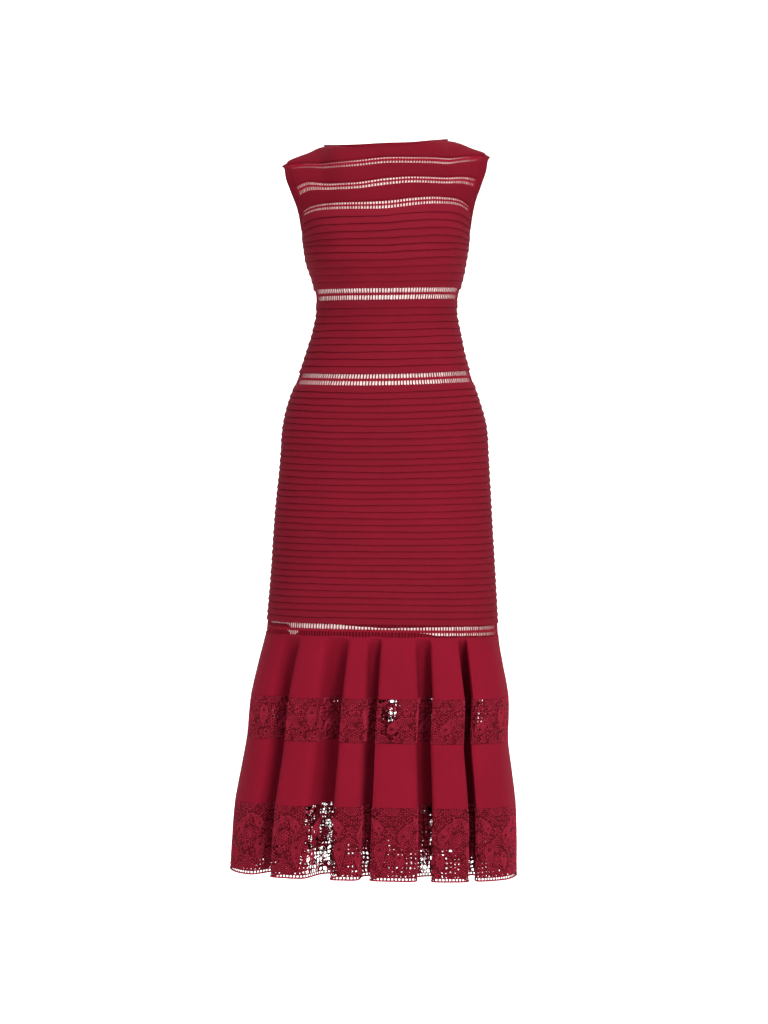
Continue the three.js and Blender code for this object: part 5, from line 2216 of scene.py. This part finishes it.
@dataclass(frozen=True)
class Studio:
    """A pale floor and backdrop, soft lights and the camera."""

    floor_z: float = -1.75
    backdrop_y: float = 3.2
    bend: float = 1.2
    half_width: float = 7
    camera_at: tuple[float, float, float] = (-0.0034, -4.0, -0.45)
    camera_aim: tuple[float, float, float] = (-0.0034, 0.0, -0.617)
    lens: float = 82.16
    world: float = 0.24
    # name, place, aim, size across and up, power, colour
    lamps: tuple[tuple[Any, ...], ...] = (
        ("key", (1.7, -3.2, 1.3), (0, 0, -0.55), (1.3, 1.8), 112, (1, 0.985, 0.96)),
        ("fill", (-2.4, -2.6, 0.1), (0, 0, -0.6), (1.8, 2.4), 14, (0.97, 0.985, 1)),
        ("top", (0.1, -0.9, 2.3), (0, 0, -0.3), (2.2, 1.6), 80, (1, 1, 1)),
        ("back", (0.3, 2.4, 1.6), (0, 0, -0.5), (2.4, 1.6), 30, (1, 1, 1)),
    )

    def build(self) -> None:
        """Makes the studio."""
        self.make_floor()
        for lamp in self.lamps:
            self.make_lamp(*lamp)
        self.make_camera()
        scene = bpy.context.scene
        scene.view_settings.view_transform = "Standard"
        scene.world = scene.world or bpy.data.worlds.new("studio_air")
        scene.world.use_nodes = True
        air = scene.world.node_tree.nodes["Background"]
        air.inputs["Color"].default_value = (1, 1, 1, 1)
        air.inputs["Strength"].default_value = self.world

    def make_floor(self) -> None:
        """Makes the floor with its backdrop, joined by a bend."""
        a = np.linspace(0, QUARTER, 13)
        bend_y = self.backdrop_y - self.bend + self.bend * np.sin(a)
        bend_z = self.floor_z + self.bend - self.bend * np.cos(a)
        y = np.concatenate([[-6], bend_y, [self.backdrop_y]])
        z = np.concatenate([[self.floor_z], bend_z, [5]])
        x = np.linspace(-self.half_width, self.half_width, 5)
        across = np.broadcast_to(x, (len(y), 5))
        grid = np.stack([across, *(np.repeat(t[:, None], 5, 1) for t in (y, z))], -1)
        maker = MeshMaker()
        maker.add(grid / MM, quads(np.arange(len(y) * 5).reshape(-1, 5)))
        floor = maker.build("studio_floor", [Plaster("studio_plaster").material()])

    def make_lamp(
        self, name: str, at: Any, aim: Any, size: tuple[float, float], power: float, colour: Colour
    ) -> None:
        """Makes one soft light."""
        light = bpy.data.lights.new(f"studio_{name}", "AREA")
        light.shape = "RECTANGLE"
        light.size, light.size_y = size
        light.energy = power
        light.color = colour
        lamp = bpy.data.objects.new(light.name, light)
        lamp.location = at
        lamp.rotation_euler = (Vector(aim) - Vector(at)).to_track_quat("-Z", "Y").to_euler()
        bpy.context.scene.collection.objects.link(lamp)

    def make_camera(self) -> None:
        """Makes the camera."""
        data = bpy.data.cameras.new("studio_camera")
        data.lens = self.lens
        data.sensor_width = 36
        camera = bpy.data.objects.new("studio_camera", data)
        camera.location = self.camera_at
        aim = Vector(self.camera_aim) - Vector(self.camera_at)
        camera.rotation_euler = aim.to_track_quat("-Z", "Y").to_euler()
        bpy.context.scene.collection.objects.link(camera)
        bpy.context.scene.camera = camera


# ---------------------------------------------------------------- the dress


@dataclass(frozen=True)
class Dress:
    """The whole dress."""

    cut: BodyCut = field(default_factory=BodyCut)
    flounce: FlounceForm = field(default_factory=FlounceForm)
    pieces: tuple[Any, ...] = (
        PlainBand("neck_band", "ladder_1_top", "top"),
        LadderTrim("ladder_1", "ladder_1_foot", "ladder_1_top", seed=11, middle_rail=5, bar=2.1),
        PlainBand("yoke_band_1", "ladder_2_top", "ladder_1_foot"),
        LadderTrim("ladder_2", "ladder_2_foot", "ladder_2_top", seed=12, middle_rail=3.7, bar=2.1),
        PlainBand("yoke_band_2", "ladder_3_top", "ladder_2_foot"),
        LadderTrim("ladder_3", "ladder_3_foot", "ladder_3_top", seed=13, middle_rail=3.4, bar=2.1),
        TuckedCloth("bodice", "ladder_4_top", "ladder_3_foot", tucks=11, seed=100),
        LadderTrim("ladder_4", "ladder_4_foot", "ladder_4_top", seed=14),
        TuckedCloth("midriff", "ladder_5_top", "ladder_4_foot", tucks=10, seed=300),
        LadderTrim("ladder_5", "ladder_5_foot", "ladder_5_top", seed=15),
        TuckedCloth("skirt", "ladder_6_top", "ladder_5_foot", tucks=36, seed=500),
        LadderTrim("ladder_6", "ladder_6_foot", "ladder_6_top", seed=16, bar=2.2),
    )

    def build(self, finishes: Finishes, fitter: Fitter) -> None:
        """Makes every piece in order, from the body out to the zip."""
        for panel in self.cut.panels:
            for piece in self.pieces:
                piece.build(self.cut, panel, finishes, fitter)
        for panel in self.cut.panels:
            PaintedShadeAllowances().build(self.cut, panel, finishes, fitter)
        for side, seed in ((Side.FRONT, 41), (Side.BACK, 42)):
            Lining(side, seed).build(self.cut, finishes, fitter)
        ArmholeBinding("armhole_binding_left", hand=1).build(self.cut, finishes, fitter)
        ArmholeBinding("armhole_binding_right", hand=-1).build(self.cut, finishes, fitter)
        NeckBinding("neck_binding").build(self.cut, finishes, fitter)
        form = self.flounce
        PlainTier("flounce_tier_1", form.knee, form.tier_one_foot).build(form, finishes, fitter)
        self.upper_lace(form).build(form, finishes, fitter)
        PlainTier("flounce_tier_2", form.lace_one_foot, form.tier_two_foot).build(form, finishes, fitter)
        self.hem_lace(form).build(form, finishes, fitter)
        HemCord().build(form, finishes, fitter)
        Zip().build(self.cut, finishes, fitter)

    def upper_lace(self, form: FlounceForm) -> LaceBand:
        """The lace band between the two plain tiers."""
        sheers = (
            Sheer(-192, -178, 0.66),
            Sheer(-148, -143, 0.7),
            Sheer(-104, -98, 0.62),
            Sheer(-34, -25, 0.74),
            Sheer(-10, 20, 0.95),
            Sheer(68, 78, 0.6),
            Sheer(146, 158, 0.74),
        )
        return LaceBand("flounce_lace_1", form.tier_one_foot, form.lace_one_foot, band_chart, sheers, 61)

    def hem_lace(self, form: FlounceForm) -> LaceBand:
        """The lace along the hem."""
        sheers = (
            Sheer(-188, -180, 0.6),
            Sheer(-133, -84, 0.98),
            Sheer(-40, -28, 0.66),
            Sheer(58, 78, 0.96),
            Sheer(140, 150, 0.66),
        )
        return LaceBand(
            "flounce_lace_2", form.tier_two_foot, form.hem, hem_chart, sheers, 62, bar_row=2.8, cell=7.4
        )


def main() -> None:
    """Builds the studio and the dress."""
    logging.basicConfig(level=logging.INFO, format="%(message)s", stream=sys.stdout)
    Studio().build()
    fitter = Fitter()
    Dress().build(Finishes(), fitter)
    log.info("%d pieces", len(fitter.made))


if __name__ == "__main__":
    main()
